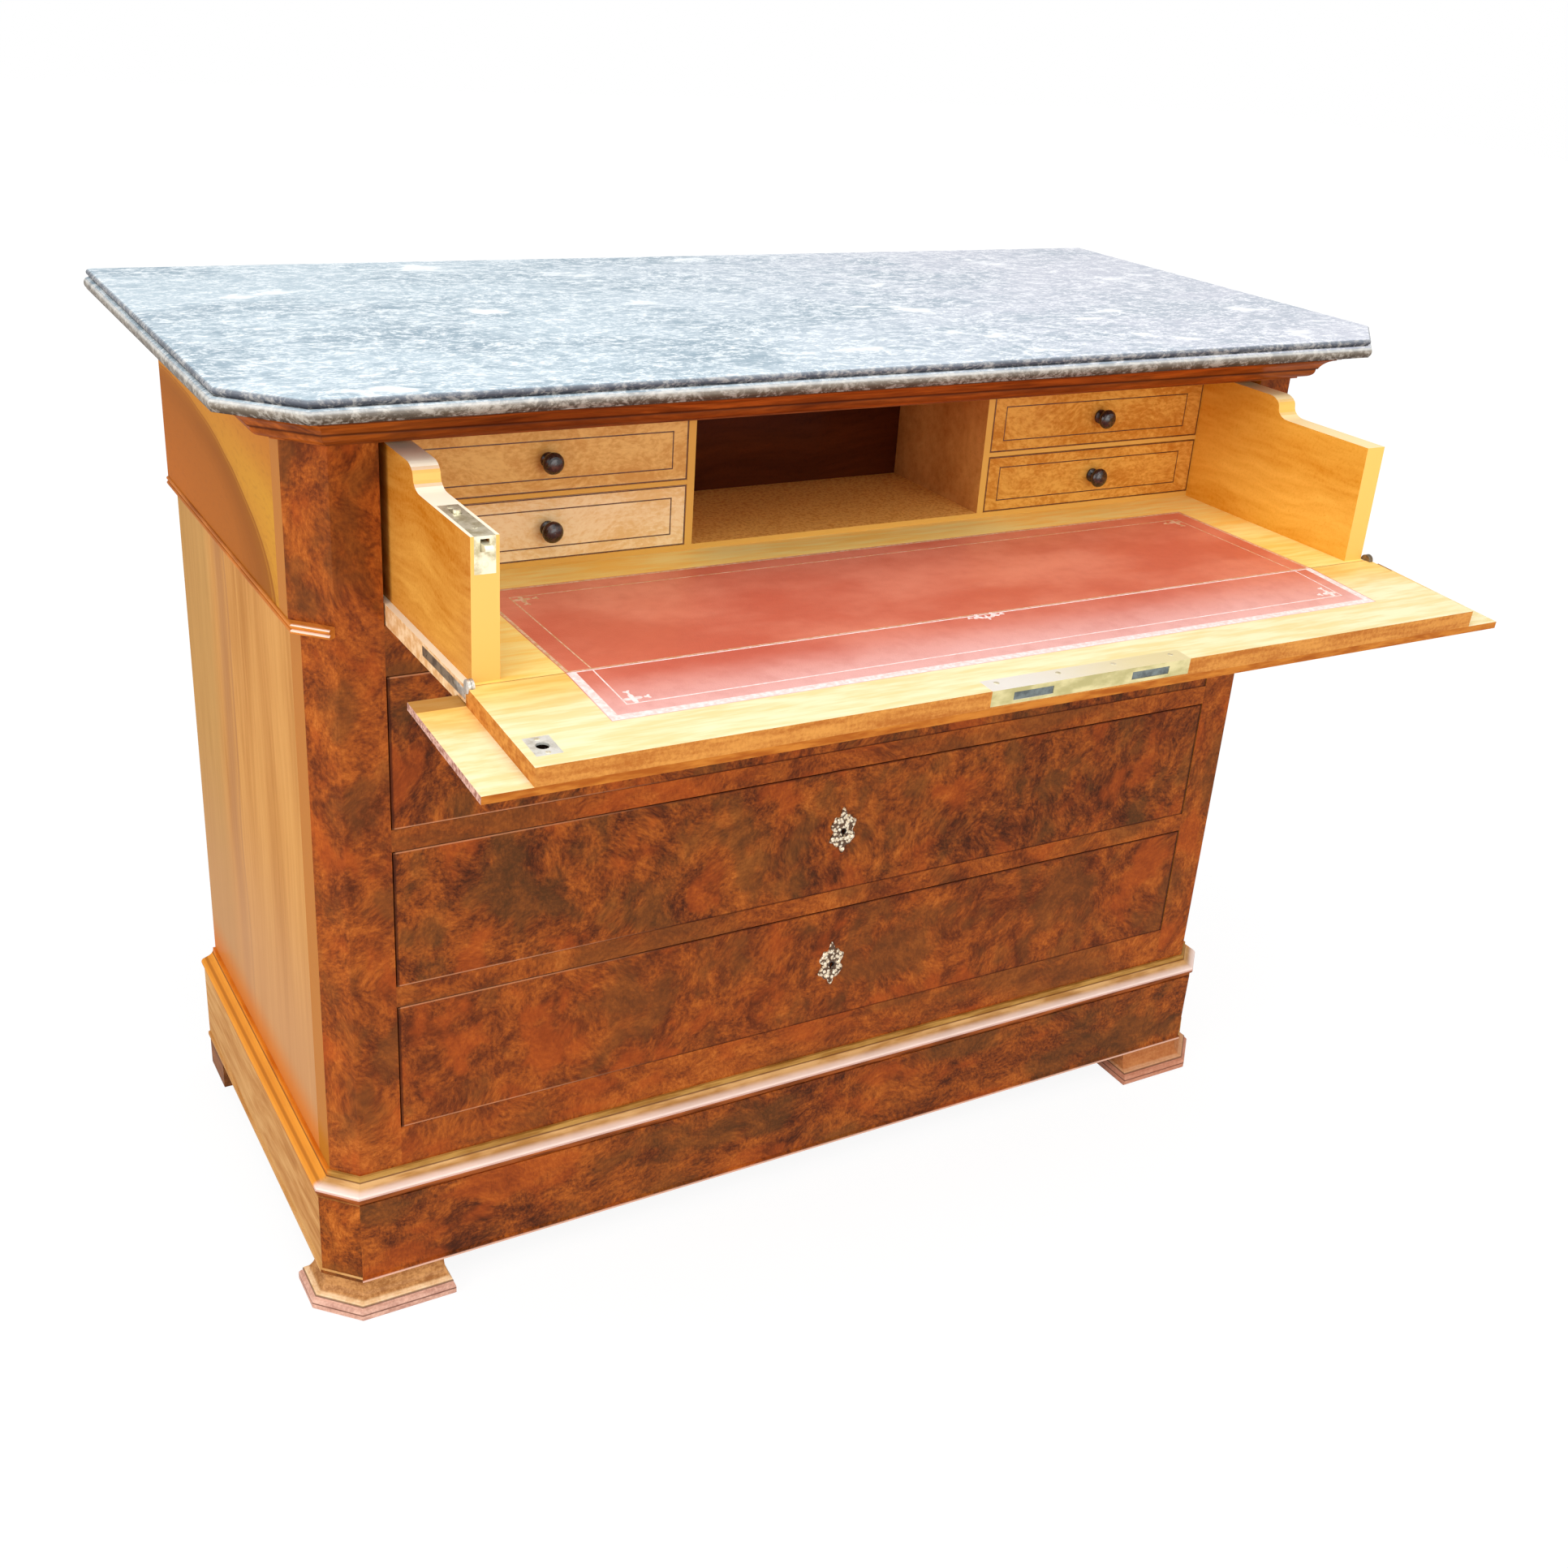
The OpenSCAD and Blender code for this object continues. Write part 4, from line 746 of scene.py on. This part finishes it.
def finishes():
    """{node: material} for every CAD node."""
    nodes = {}
    cornice_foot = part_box("cornice_front")[0].z
    # the heights of the cornice's grooves, which get painted shade lines
    quirks = cornice_foot + 14 * MM, cornice_foot + 28.5 * MM
    for node, name, leaf, along in (
            ("cornice_front", "cornice_walnut", 0.3, ACROSS),
            ("cornice_cants", "cornice_cant_walnut", 0.9, ACROSS),
            ("cornice_returns", "cornice_return_walnut", 0.5, DEEP)):
        nodes[node] = straight_walnut(
            name, (leaf, 0, 0), along, rgb(172, 88, 30), rgb(96, 42, 14), quirks=quirks)
    stile_sweep, stile_edge = (1.2, 1.2, 0.8), rgb(184, 114, 38)
    rail_sweep, plinth_sweep = (0.5, 1.0, 1.0), (0.55, 1.0, 1.0)
    for name, node, *cut in (
            ("left_stile_burr", "left_stile", (0.3, 1.2, 0.1), 0.0, stile_sweep, 0.1),
            ("right_stile_burr", "right_stile", (1.8, 0.3, 0.6), 0.02, stile_sweep, 0.1),
            ("rail_burr", "secretary_rail", (0.2, 3.1, 0.4), 0.0, rail_sweep),
            ("lower_rail_burr", "drawer_rails", (1.2, 2.1, 0.7), 0.02, rail_sweep, 0.1)):
        nodes[node] = burr_walnut(name, *cut, edge=stile_edge if "stile" in node else None)
    # the plinth front's lower edge gets a painted highlight
    nodes["plinth_front"] = burr_walnut(
        "plinth_burr", (2.2, 0.4, 1.9), -0.015, plinth_sweep, pale_rim=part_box("plinth_front")[0].z)
    for place, *cut in (
            ("upper", (0.6, 0.9, 2.6), -0.03, (1.2, 1.0, 0.7)),
            ("middle", (1.7, 0.2, 0.1), -0.012, (1.1, 1.0, 0.9)),
            ("lower", (2.9, 1.4, 0.8), -0.02, (1.1, 1.0, 1.0), 0.1)):
        nodes[place + "_drawer_front"] = drawer_burr(place + "_drawer_front", *cut)
    for node, name, leaf, along in (
            ("back_panel", "back_oak", (0.1, 0.2, 0.9), UP),
            ("top_board", "board_oak", (0.7, 0.2, 0.1), ACROSS),
            ("drawer_runners", "runner_oak", (1.7, 0.6, 0.1), DEEP),
            ("upper_drawer_box", "box_oak", (0.9, 1.6, 0.4), DEEP)):
        nodes[node] = oak(name, leaf, along)
    frieze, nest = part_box("frieze_sides"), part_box("nest_case")
    # painted shade deep in the pigeonholes: where it starts, where it is full, and its tone
    inside = (nest[0].y + 130 * MM, nest[0].y + 225 * MM, rgb(104, 50, 20))
    nodes |= {
        "marble_top": marble("marble"),
        "left_side": side_walnut("side_walnut"),
        "frieze_sides": arched_walnut("frieze_walnut", frieze[1].y, frieze[0].z),
        # the frieze beads get a painted highlight where they turn up
        "frieze_beads": straight_walnut(
            "bead_walnut", (1.4, 0, 0), DEEP, rgb(206, 124, 50), rgb(150, 78, 26),
            highlight_tone=rgb(252, 226, 208)),
        "plinth_returns": plinth_return("plinth_side_walnut"),
        "plinth_moulding": plinth_walnut("plinth_mould_walnut"),
        "front_feet": foot_walnut("foot_walnut"),
        "rear_feet": straight_walnut(
            "rear_foot_walnut", (0.2, 1.1, 0), DEEP, rgb(150, 92, 48), rgb(104, 58, 28)),
        "writing_bed": bed_wood("bed_maple"),
        # the sides' upper edges get a painted highlight
        "secretary_left_side": maple(
            "left_side_maple", (0.9, 0.1, 0.3), DEEP, rgb(222, 158, 70), rgb(186, 108, 24),
            rim=rgb(255, 240, 216), nose=rgb(248, 190, 104)),
        "secretary_right_side": maple(
            "right_side_maple", (0.2, 1.1, 0.6), DEEP, rgb(252, 194, 84), rgb(222, 148, 38),
            rim=rgb(255, 226, 170), nose=rgb(250, 196, 104)),
        # painted shade: the back is painted near black, for the shade at the back of the compartment
        "secretary_back": maple(
            "back_maple_painted_shade", (0.4, 0.9, 0.3), ACROSS, rgb(84, 36, 14), rgb(56, 22, 10)),
        "nest_case": maple(
            "nest_maple", (0.5, 0.1, 0.8), ACROSS, rgb(228, 162, 88), rgb(190, 120, 54),
            shade=inside, nose=rgb(228, 178, 88)),
        "nest_drawer_upper_left": nest_front("nest_front_maple"),
        "nest_knob_upper_left": turned_black("ebonised"),
        "fall_core": fall_wood("fall_maple"),
        "fall_face": fall_front("fall_face_burr"),
        "bed_leather": leather("bed_leather", rgb(214, 106, 80), rgb(234, 138, 110)),
        # the fall's leather turns paler towards the front, mostly as painted sheen
        "fall_leather": leather(
            "fall_leather", rgb(206, 100, 78), rgb(226, 130, 106), rgb(240, 182, 174)),
        "catch_plate": metal("brass", rgb(236, 230, 204), rgb(190, 178, 142), 0.26, 0.75),
        "catch_strike": metal("silvered", rgb(244, 244, 236), rgb(206, 202, 188), 0.25, 0.5),
        "fall_lock_bolts": metal("dull_bolt", rgb(122, 130, 128), rgb(88, 94, 94), 0.4, 0.5),
        "fall_lock": lock_brass("lock_brass"),
        "fall_escutcheon": cast_brass("gilt_brass", escutcheon_seats().values()),
        "bed_hinge_straps": strap_steel("dark_steel"),
    }
    shared = {
        "left_side": ["right_side"],
        "top_board": ["top_rail", "bottom_board"],
        "upper_drawer_box": ["middle_drawer_box", "lower_drawer_box"],
        "catch_plate": ["catch_bolt"],
        "fall_escutcheon": ["upper_drawer_lock", "middle_drawer_lock", "lower_drawer_lock"],
        "bed_hinge_straps": [
            "fall_hinge_straps", "upper_drawer_bolt", "middle_drawer_bolt", "lower_drawer_bolt"],
    }
    for part in ("nest_drawer_", "nest_knob_"):
        shared[part + "upper_left"] = [
            part + place for place in ("lower_left", "upper_right", "lower_right")]
    for node, others in shared.items():
        nodes |= dict.fromkeys(others, nodes[node])
    return nodes


def soften(node, width):
    """Rounds a board's sharp edges, as use and polishing do."""
    edges = node.modifiers.new("worn_edges", "BEVEL")
    edges.width, edges.segments = width, 2
    edges.limit_method = "ANGLE"
    edges.angle_limit = radians(38)


def dress_nodes(materials):
    plain = {"catch_bolt", "fall_lock_bolts", "bed_hinge_straps", "fall_hinge_straps",
             "bed_leather", "fall_leather", "catch_strike", "marble_top"}
    for name, node in frame["nodes"].items():
        node.data.materials.clear()
        node.data.materials.append(materials[name])
        if name not in plain and "knob" not in name and "lock" not in name:
            soften(node, 0.6 * MM if "nest" in name else 0.9 * MM)


# Pieces that the scene adds

def add_object(name, data):
    """An object of the scene with the given mesh, lamp or camera."""
    thing = bpy.data.objects.new(name, data)
    bpy.context.scene.collection.objects.link(thing)
    return thing


def add_piece(name, mesh_parts, material, body):
    """A piece from [(corners, faces), ...], riding on a CAD body."""
    corners, faces = [], []
    for part_corners, part_faces in mesh_parts:
        faces += [[i + len(corners) for i in face] for face in part_faces]
        corners += part_corners
    mesh = bpy.data.meshes.new(name)
    mesh.from_pydata(corners, [], faces)
    shape = bmesh.new()
    shape.from_mesh(mesh)
    bmesh.ops.recalc_face_normals(shape, faces=shape.faces)
    shape.to_mesh(mesh)
    shape.free()
    mesh.materials.append(material)
    piece = add_object(name, mesh)
    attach(piece, body)
    return piece


def band(first, second, n):
    """Faces between two rings of n corners, which start at the corners first and second."""
    return [[first + k, first + (k + 1) % n, second + (k + 1) % n, second + k] for k in range(n)]


def polar(angle, reach):
    """A place round a centre. The angle runs clockwise from straight up."""
    return reach * sin(angle), reach * cos(angle)


def bump(value, middle, width):
    """A smooth bump of height 1 round the middle."""
    return exp(-((value - middle) / width) ** 2)


def raised_line(plane, path, width, height, closed=True):
    """A narrow crowned line along a path on a plane, mitred at its corners."""
    section = [(-0.5, -0.3), (-0.5, 0.35), (-0.25, 1.0), (0.25, 1.0), (0.5, 0.35), (0.5, -0.3)]
    points = [Vector(p) for p in path]
    count = len(points)
    corners = []
    for i, point in enumerate(points):
        before = points[i - 1] if closed or i > 0 else None
        after = points[(i + 1) % count] if closed or i < count - 1 else None
        ways = [(b - a).normalized() for a, b in ((before, point), (point, after))
                if a is not None and b is not None]
        way = sum(ways, Vector((0, 0))).normalized()
        normal = Vector((-way.y, way.x))
        stretch = 1 / max(0.3, normal.dot(Vector((-ways[0].y, ways[0].x))))
        for across, up in section:
            spot = point + normal * across * width * stretch
            corners.append(plane.at(spot.x, spot.y, up * height))
    n = len(section)
    faces = []
    for i in range(count if closed else count - 1):
        faces += band(i * n, (i + 1) % count * n, n)
    if not closed:
        faces += [list(range(n)), [(count - 1) * n + k for k in range(n)]]
    return corners, faces


def rectangle(u0, v0, u1, v1):
    return [(u0, v0), (u1, v0), (u1, v1), (u0, v1)]


def relief(plane, centre, inner, outer, height, rings, spokes):
    """A cast plate: inner(angle) and outer(angle) give its two edges, and height(share,
    angle) its relief between them."""
    corners, faces = [], []
    for r in range(rings + 1):
        share = r / rings
        for s in range(spokes):
            angle = 2 * pi * s / spokes
            a, b = inner(angle), outer(angle)
            u = centre[0] + a[0] + (b[0] - a[0]) * share
            v = centre[1] + a[1] + (b[1] - a[1]) * share
            corners.append(plane.at(u, v, height(share, angle)))
    rim, inner_foot = rings * spokes, len(corners)
    rim_foot = inner_foot + spokes
    for spot in corners[:spokes] + corners[rim:]:
        corners.append(spot - plane.h * (spot - plane.origin).dot(plane.h))
    for r in range(rings):
        faces += band(r * spokes, (r + 1) * spokes, spokes)
    for first, second in ((0, inner_foot), (rim_foot, rim), (inner_foot, rim_foot)):
        faces += band(first, second, spokes)
    return corners, faces


def keyhole_edge(radius):
    """The edge of a keyhole seen from its centre: a round hole over a slot."""
    def edge(angle):
        across, up = polar(angle, 1)
        half_slot, slot_foot = radius / 2, 3 * radius
        if up < 0 and abs(across) < 0.5:
            return polar(angle, min(slot_foot / -up, half_slot / max(abs(across), 1e-6)))
        return polar(angle, radius)
    return edge


def cartouche_edge(half_w, half_h):
    """Outline of a rococo escutcheon: scrolled lobes, a shell on top and a tail below."""
    def edge(angle):
        lobe = 1 + 0.13 * cos(6 * angle) + 0.11 * cos(10 * angle + 0.7)
        crest = 0.06 * bump(sin(angle / 2), 0, 0.22)
        across, up = polar(angle, (lobe + crest) / 1.2)
        return half_w * across, half_h * up
    return edge


def cartouche_relief(share, angle):
    """Leaves that roll outwards, a beaded collar round the keyhole and a raised rim."""
    rim = bump(share, 0.80, 0.13) * (0.65 + 0.35 * cos(12 * angle + 0.6))
    collar = bump(share, 0.12, 0.10)
    leaves = bump(share, 0.50, 0.16) * max(0.0, cos(8 * angle))
    curl = 0.25 * sin(5 * angle + 7 * share)
    fall = 1.0 if share < 0.93 else max(0.35, 1 - (share - 0.93) * 8)
    return (1.75 + 1.25 * rim + 0.8 * collar + 0.55 * leaves + curl * share) * fall * MM


def screw(plane, u, v, radius, turn):
    """A countersunk screw head: two halves that stand a little proud, with a slot."""
    parts = []
    steps, half_slot = 10, 0.14 * radius
    start = asin(half_slot / radius)
    angles = [start + (pi - 2 * start) * i / steps for i in range(steps + 1)]
    n = len(angles)
    for side in (1, -1):
        corners = []
        for shrink, up in ((1.0, -0.2), (1.0, 0.12), (0.86, 0.30)):
            for angle in angles:
                a = radius * cos(angle) * shrink
                b = side * max(radius * sin(angle) * shrink, half_slot)
                corners.append(plane.at(
                    u + a * cos(turn) - b * sin(turn),
                    v + a * sin(turn) + b * cos(turn), up * MM))
        faces = [list(range(n)), list(range(2 * n, 3 * n))]
        parts.append((corners, faces + band(0, n, n) + band(n, 2 * n, n)))
    return parts


def petals(plane, u, v, radius, count, lean):
    """A small tooled flower: petals that rise to a button in the middle."""
    def outer(angle):
        return polar(angle, radius * (0.68 + 0.32 * cos(count * (angle - lean))))

    def inner(angle):
        return polar(angle, 0.02 * radius)

    def height(share, angle):
        return (0.30 - 0.16 * share + 0.10 * bump(share, 0, 0.25)) * MM
    return relief(plane, (u, v), inner, outer, height, rings=3, spokes=40)


def add_strings(material):
    """Dark string lines inlaid in the small drawers' fronts, and painted gap shadows round their
    edges.
    """
    inset, near_middle, near_side = 12 * MM, 16 * MM, 22 * MM
    edge, width = 0.7 * MM, 1.2 * MM
    for place in ("upper_left", "lower_left", "upper_right", "lower_right"):
        low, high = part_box("nest_drawer_" + place)
        left, right = (near_side, near_middle) if "left" in place else (near_middle, near_side)
        front = front_face(low.y)
        field = rectangle(low.x + left, low.z + inset, high.x - right, high.z - inset)
        # painted shadow: a dark line round the front's edge, where the gap is in shade
        rim = rectangle(low.x + edge, low.z + edge, high.x - edge, high.z - edge)
        lines = [raised_line(front, field, width, 0.12 * MM),
                 raised_line(front, rim, width, 0.08 * MM)]
        add_piece("nest_string_" + place, lines, material, "nest_" + place)


def add_tooling(gold, pale):
    """Tooled lines and small flowers of the writing leather, on the bed and on the fall."""
    hinge_gap, inner, fine_line, depth = 0.4 * MM, 24 * MM, 1.3 * MM, 0.14 * MM
    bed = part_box("bed_leather")[1]
    fall = FALL.spread("fall_leather")[1]
    side = bed.x
    surface, bed_far = top_face(bed.z, FALL.origin.y), bed.y - FALL.origin.y
    for name, body, plane, far, broad, colour in (
            ("bed", "writing_drawer", surface, bed_far, 3.0 * MM, gold),
            ("fall", "fall", FALL.raised(fall.z), fall.y, 8.0 * MM, pale)):
        parts = []
        for inset, width in ((0.5 * broad + 1 * MM, broad), (inner, fine_line)):
            right = [(side - inset, far - inset), (side - inset, hinge_gap)]
            path = [(-u, v) for u, v in reversed(right)] + right
            parts.append(raised_line(plane, path, width, depth, closed=False))
        along_hinge = [(-side + broad, 1.2 * MM), (side - broad, 1.2 * MM)]
        parts.append(raised_line(plane, along_hinge, 1.5 * MM, depth, closed=False))
        flowers = []  # (u, v, radius in millimetres, petals, lean)
        for way in (-1, 1):
            u, v = way * (side - inner - 9 * MM), far - inner - 8 * MM
            flowers += [(u, v, 8.5, 4, 0.0), (u - way * 13 * MM, v, 3.6, 3, 0.5),
                        (u, v - 12 * MM, 3.6, 3, 0.2)]
        if name == "fall":
            for way in (-1, 1):
                flowers += [(way * 9 * MM, 4.5 * MM, 6.0, 3, 1.2 * way),
                            (way * 18 * MM, 4 * MM, 3.2, 3, -1.2 * way)]
            flowers.append((0, 8 * MM, 5.0, 4, 0.0))
        for u, v, radius_mm, count, lean in flowers:
            parts.append(petals(plane, u, v, radius_mm * MM, count, lean))
        add_piece(name + "_tooling", parts, colour, body)


def add_escutcheons(material):
    """Cast rococo escutcheons over the flat plates of the locks."""
    half_w, half_h, keyhole = 17.6 * MM, 26.8 * MM, 3.1 * MM
    for name, (plane, u, v) in escutcheon_seats().items():
        cast = relief(plane, (u, v), keyhole_edge(keyhole), cartouche_edge(half_w, half_h),
                      cartouche_relief, rings=18, spokes=144)
        if name == "fall":
            piece = add_piece("fall_cast_escutcheon", [cast], material, "fall")
            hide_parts("fall_escutcheon")
        else:
            add_piece(name + "_escutcheon", [cast], material, name + "_drawer")


def add_screws(brass, steel):
    """Slotted screws in the straps, the catch, the strike and the lock."""
    large, middling, small = 2.8 * MM, 2.6 * MM, 2.2 * MM
    low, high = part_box("bed_hinge_straps")
    level = FALL.origin.z - 7.5 * MM
    parts = []
    for way, x in ((1, high.x), (-1, low.x)):
        side = Plane((x, 0, 0), (0, 1, 0), (0, 0, 1), (way, 0, 0))
        for i, run in enumerate((34 * MM, 64 * MM, 98 * MM)):
            parts += screw(side, low.y + run, level, large, 0.5 + 0.9 * i)
    add_piece("bed_hinge_straps_screws", parts, steel, "writing_drawer")
    low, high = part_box("catch_plate")
    top, x = top_face(high.z), (low.x + high.x) / 2
    parts = [*screw(top, x, high.y - 7 * MM, large, 0.4),
             *screw(top, x, low.y + 22 * MM, large, 1.2),
             *screw(front_face(low.y), x, low.z + 8 * MM, large, 0.9)]
    add_piece("catch_screws", parts, brass, "writing_drawer")
    low, high = FALL.spread("catch_strike")
    face, u, v = FALL.raised(high.z), (low.x + high.x) / 2, (low.y + high.y) / 2
    parts = [*screw(face, u, v - 11 * MM, small, 0.8), *screw(face, u, v + 11 * MM, small, 1.8)]
    add_piece("strike_screws", parts, brass, "fall")
    low, high = FALL.spread("fall_lock")
    face = FALL.raised(high.z)
    parts = []
    for i, share in enumerate((0.06, 0.36, 0.64, 0.94)):
        u = low.x + (high.x - low.x) * share
        parts += screw(face, u, high.y - 13 * MM, middling, 0.3 + 0.8 * i)
    add_piece("fall_lock_screws", parts, brass, "fall")


# Room, light and camera

SOFT_COLOUR, SOFT_LIGHT = (0.96, 0.98, 1.0), 0.62
FLOOR_REACH, FLOOR_GLOW = 14.0, 1.05
SHADOW_NEAR, SHADOW_FAR, SHADOW_SHARE = 0.8, 2.2, 0.14
LIT_PLACE = Vector((0, 0, 0.6))


def straight_look(graph):
    """1 for what the camera and reflections see, and 0 for light that falls on things."""
    ray = graph.node("ShaderNodeLightPath")
    mirrored = ray.out("Is Glossy Ray").larger(ray.out("Is Transmission Ray"))
    return ray.out("Is Camera Ray").larger(mirrored)


def build_world():
    """Soft light for the object and plain white for the camera and for reflections."""
    scene = bpy.context.scene
    scene.view_settings.view_transform = "Standard"
    scene.world = bpy.data.worlds.new("studio")
    sky = Graph(scene.world)
    soft = sky.node("ShaderNodeBackground", None, {"Color": SOFT_COLOUR, "Strength": SOFT_LIGHT})
    white = sky.node("ShaderNodeBackground", None, {"Color": (1, 1, 1), "Strength": 1.0})
    sky.end("ShaderNodeOutputWorld", straight_look(sky), soft, white)


def build_floor():
    """A white floor that keeps only a soft shadow round the object."""
    mesh = bpy.data.meshes.new("floor")
    outline = rectangle(-FLOOR_REACH, -FLOOR_REACH, FLOOR_REACH, FLOOR_REACH)
    corners = [(x, y, 0) for x, y in outline]
    mesh.from_pydata(corners, [], [[0, 1, 2, 3]])
    material = bpy.data.materials.new("floor_paper")
    paper = Graph(material)
    place = paper.node("ShaderNodeTexCoord").out("Object")
    clear = place.maths("LENGTH", place).span({
        "From Min": SHADOW_NEAR, "From Max": SHADOW_FAR, "To Min": 1 - SHADOW_SHARE, "To Max": 1.0})
    matte = paper.node("ShaderNodeBsdfDiffuse", None, {"Color": (0.9, 0.9, 0.9)})
    glow = paper.node("ShaderNodeEmission", None, {"Strength": FLOOR_GLOW})
    paper.end("ShaderNodeOutputMaterial", straight_look(paper) * clear, matte, glow)
    mesh.materials.append(material)
    add_object("floor", mesh)


def add_lamp(name, place, size, power, colour=(1, 1, 1)):
    """A square lamp that looks at the middle of the chest."""
    lamp = bpy.data.lights.new(name, "AREA")
    lamp.shape = "SQUARE"
    lamp.size, lamp.energy, lamp.color = size, power, colour
    holder = add_object(name, lamp)
    holder.location = place
    holder.rotation_euler = (LIT_PLACE - Vector(place)).to_track_quat("-Z", "Y").to_euler()


def build_lights():
    add_lamp("sky_lamp", (-0.4, -1.3, 3.5), size=3.0, power=58, colour=(0.98, 0.99, 1.0))
    add_lamp("left_lamp", (-3.4, -1.1, 1.7), size=2.4, power=54, colour=(1.0, 0.98, 0.95))
    add_lamp("front_lamp", (0.6, -4.1, 1.35), size=2.4, power=46)


def build_camera():
    """The photograph's camera, from a fit of its place, its turn and its lens."""
    place = Vector((-0.9529, -1.5142, 1.3181))
    yaw, pitch, roll = 0.5501, -0.4433, 0.0741
    focal_px, frame_px, film_mm = 2169.1, 1932, 36
    off_centre_px = (-3.6, 1.1)
    right = Vector((cos(yaw), -sin(yaw), 0))
    forward = Vector((sin(yaw) * cos(pitch), cos(yaw) * cos(pitch), sin(pitch)))
    up = right.cross(forward)
    right, up = right * cos(roll) + up * sin(roll), up * cos(roll) - right * sin(roll)
    lens = bpy.data.cameras.new("photo_camera")
    lens.sensor_width = film_mm
    lens.lens = focal_px / frame_px * film_mm
    lens.shift_x, lens.shift_y = (shift / frame_px for shift in off_centre_px)
    camera = add_object("photo_camera", lens)
    turn = Matrix((right, up, -forward)).transposed().to_4x4()
    camera.matrix_world = Matrix.Translation(place) @ turn
    bpy.context.scene.camera = camera


materials = finishes()
dress_nodes(materials)
# the dark tone of the strings, also used for the painted gap shadows
string_and_gap_shadow = flat_tone("ebony_string_and_gap_shadow", rgb(74, 40, 20), rgb(104, 60, 30), 300, 0.3)
tooled_gold = flat_tone("tooled_gold", rgb(236, 200, 170), rgb(214, 166, 112), 220, 0.35)
tooled_pale = flat_tone("tooled_pale", rgb(255, 240, 236), rgb(250, 214, 206), 220, 0.35)
add_strings(string_and_gap_shadow)
add_tooling(tooled_gold, tooled_pale)
add_escutcheons(materials["fall_escutcheon"])
add_screws(materials["catch_plate"], materials["bed_hinge_straps"])
build_world()
build_floor()
build_lights()
build_camera()
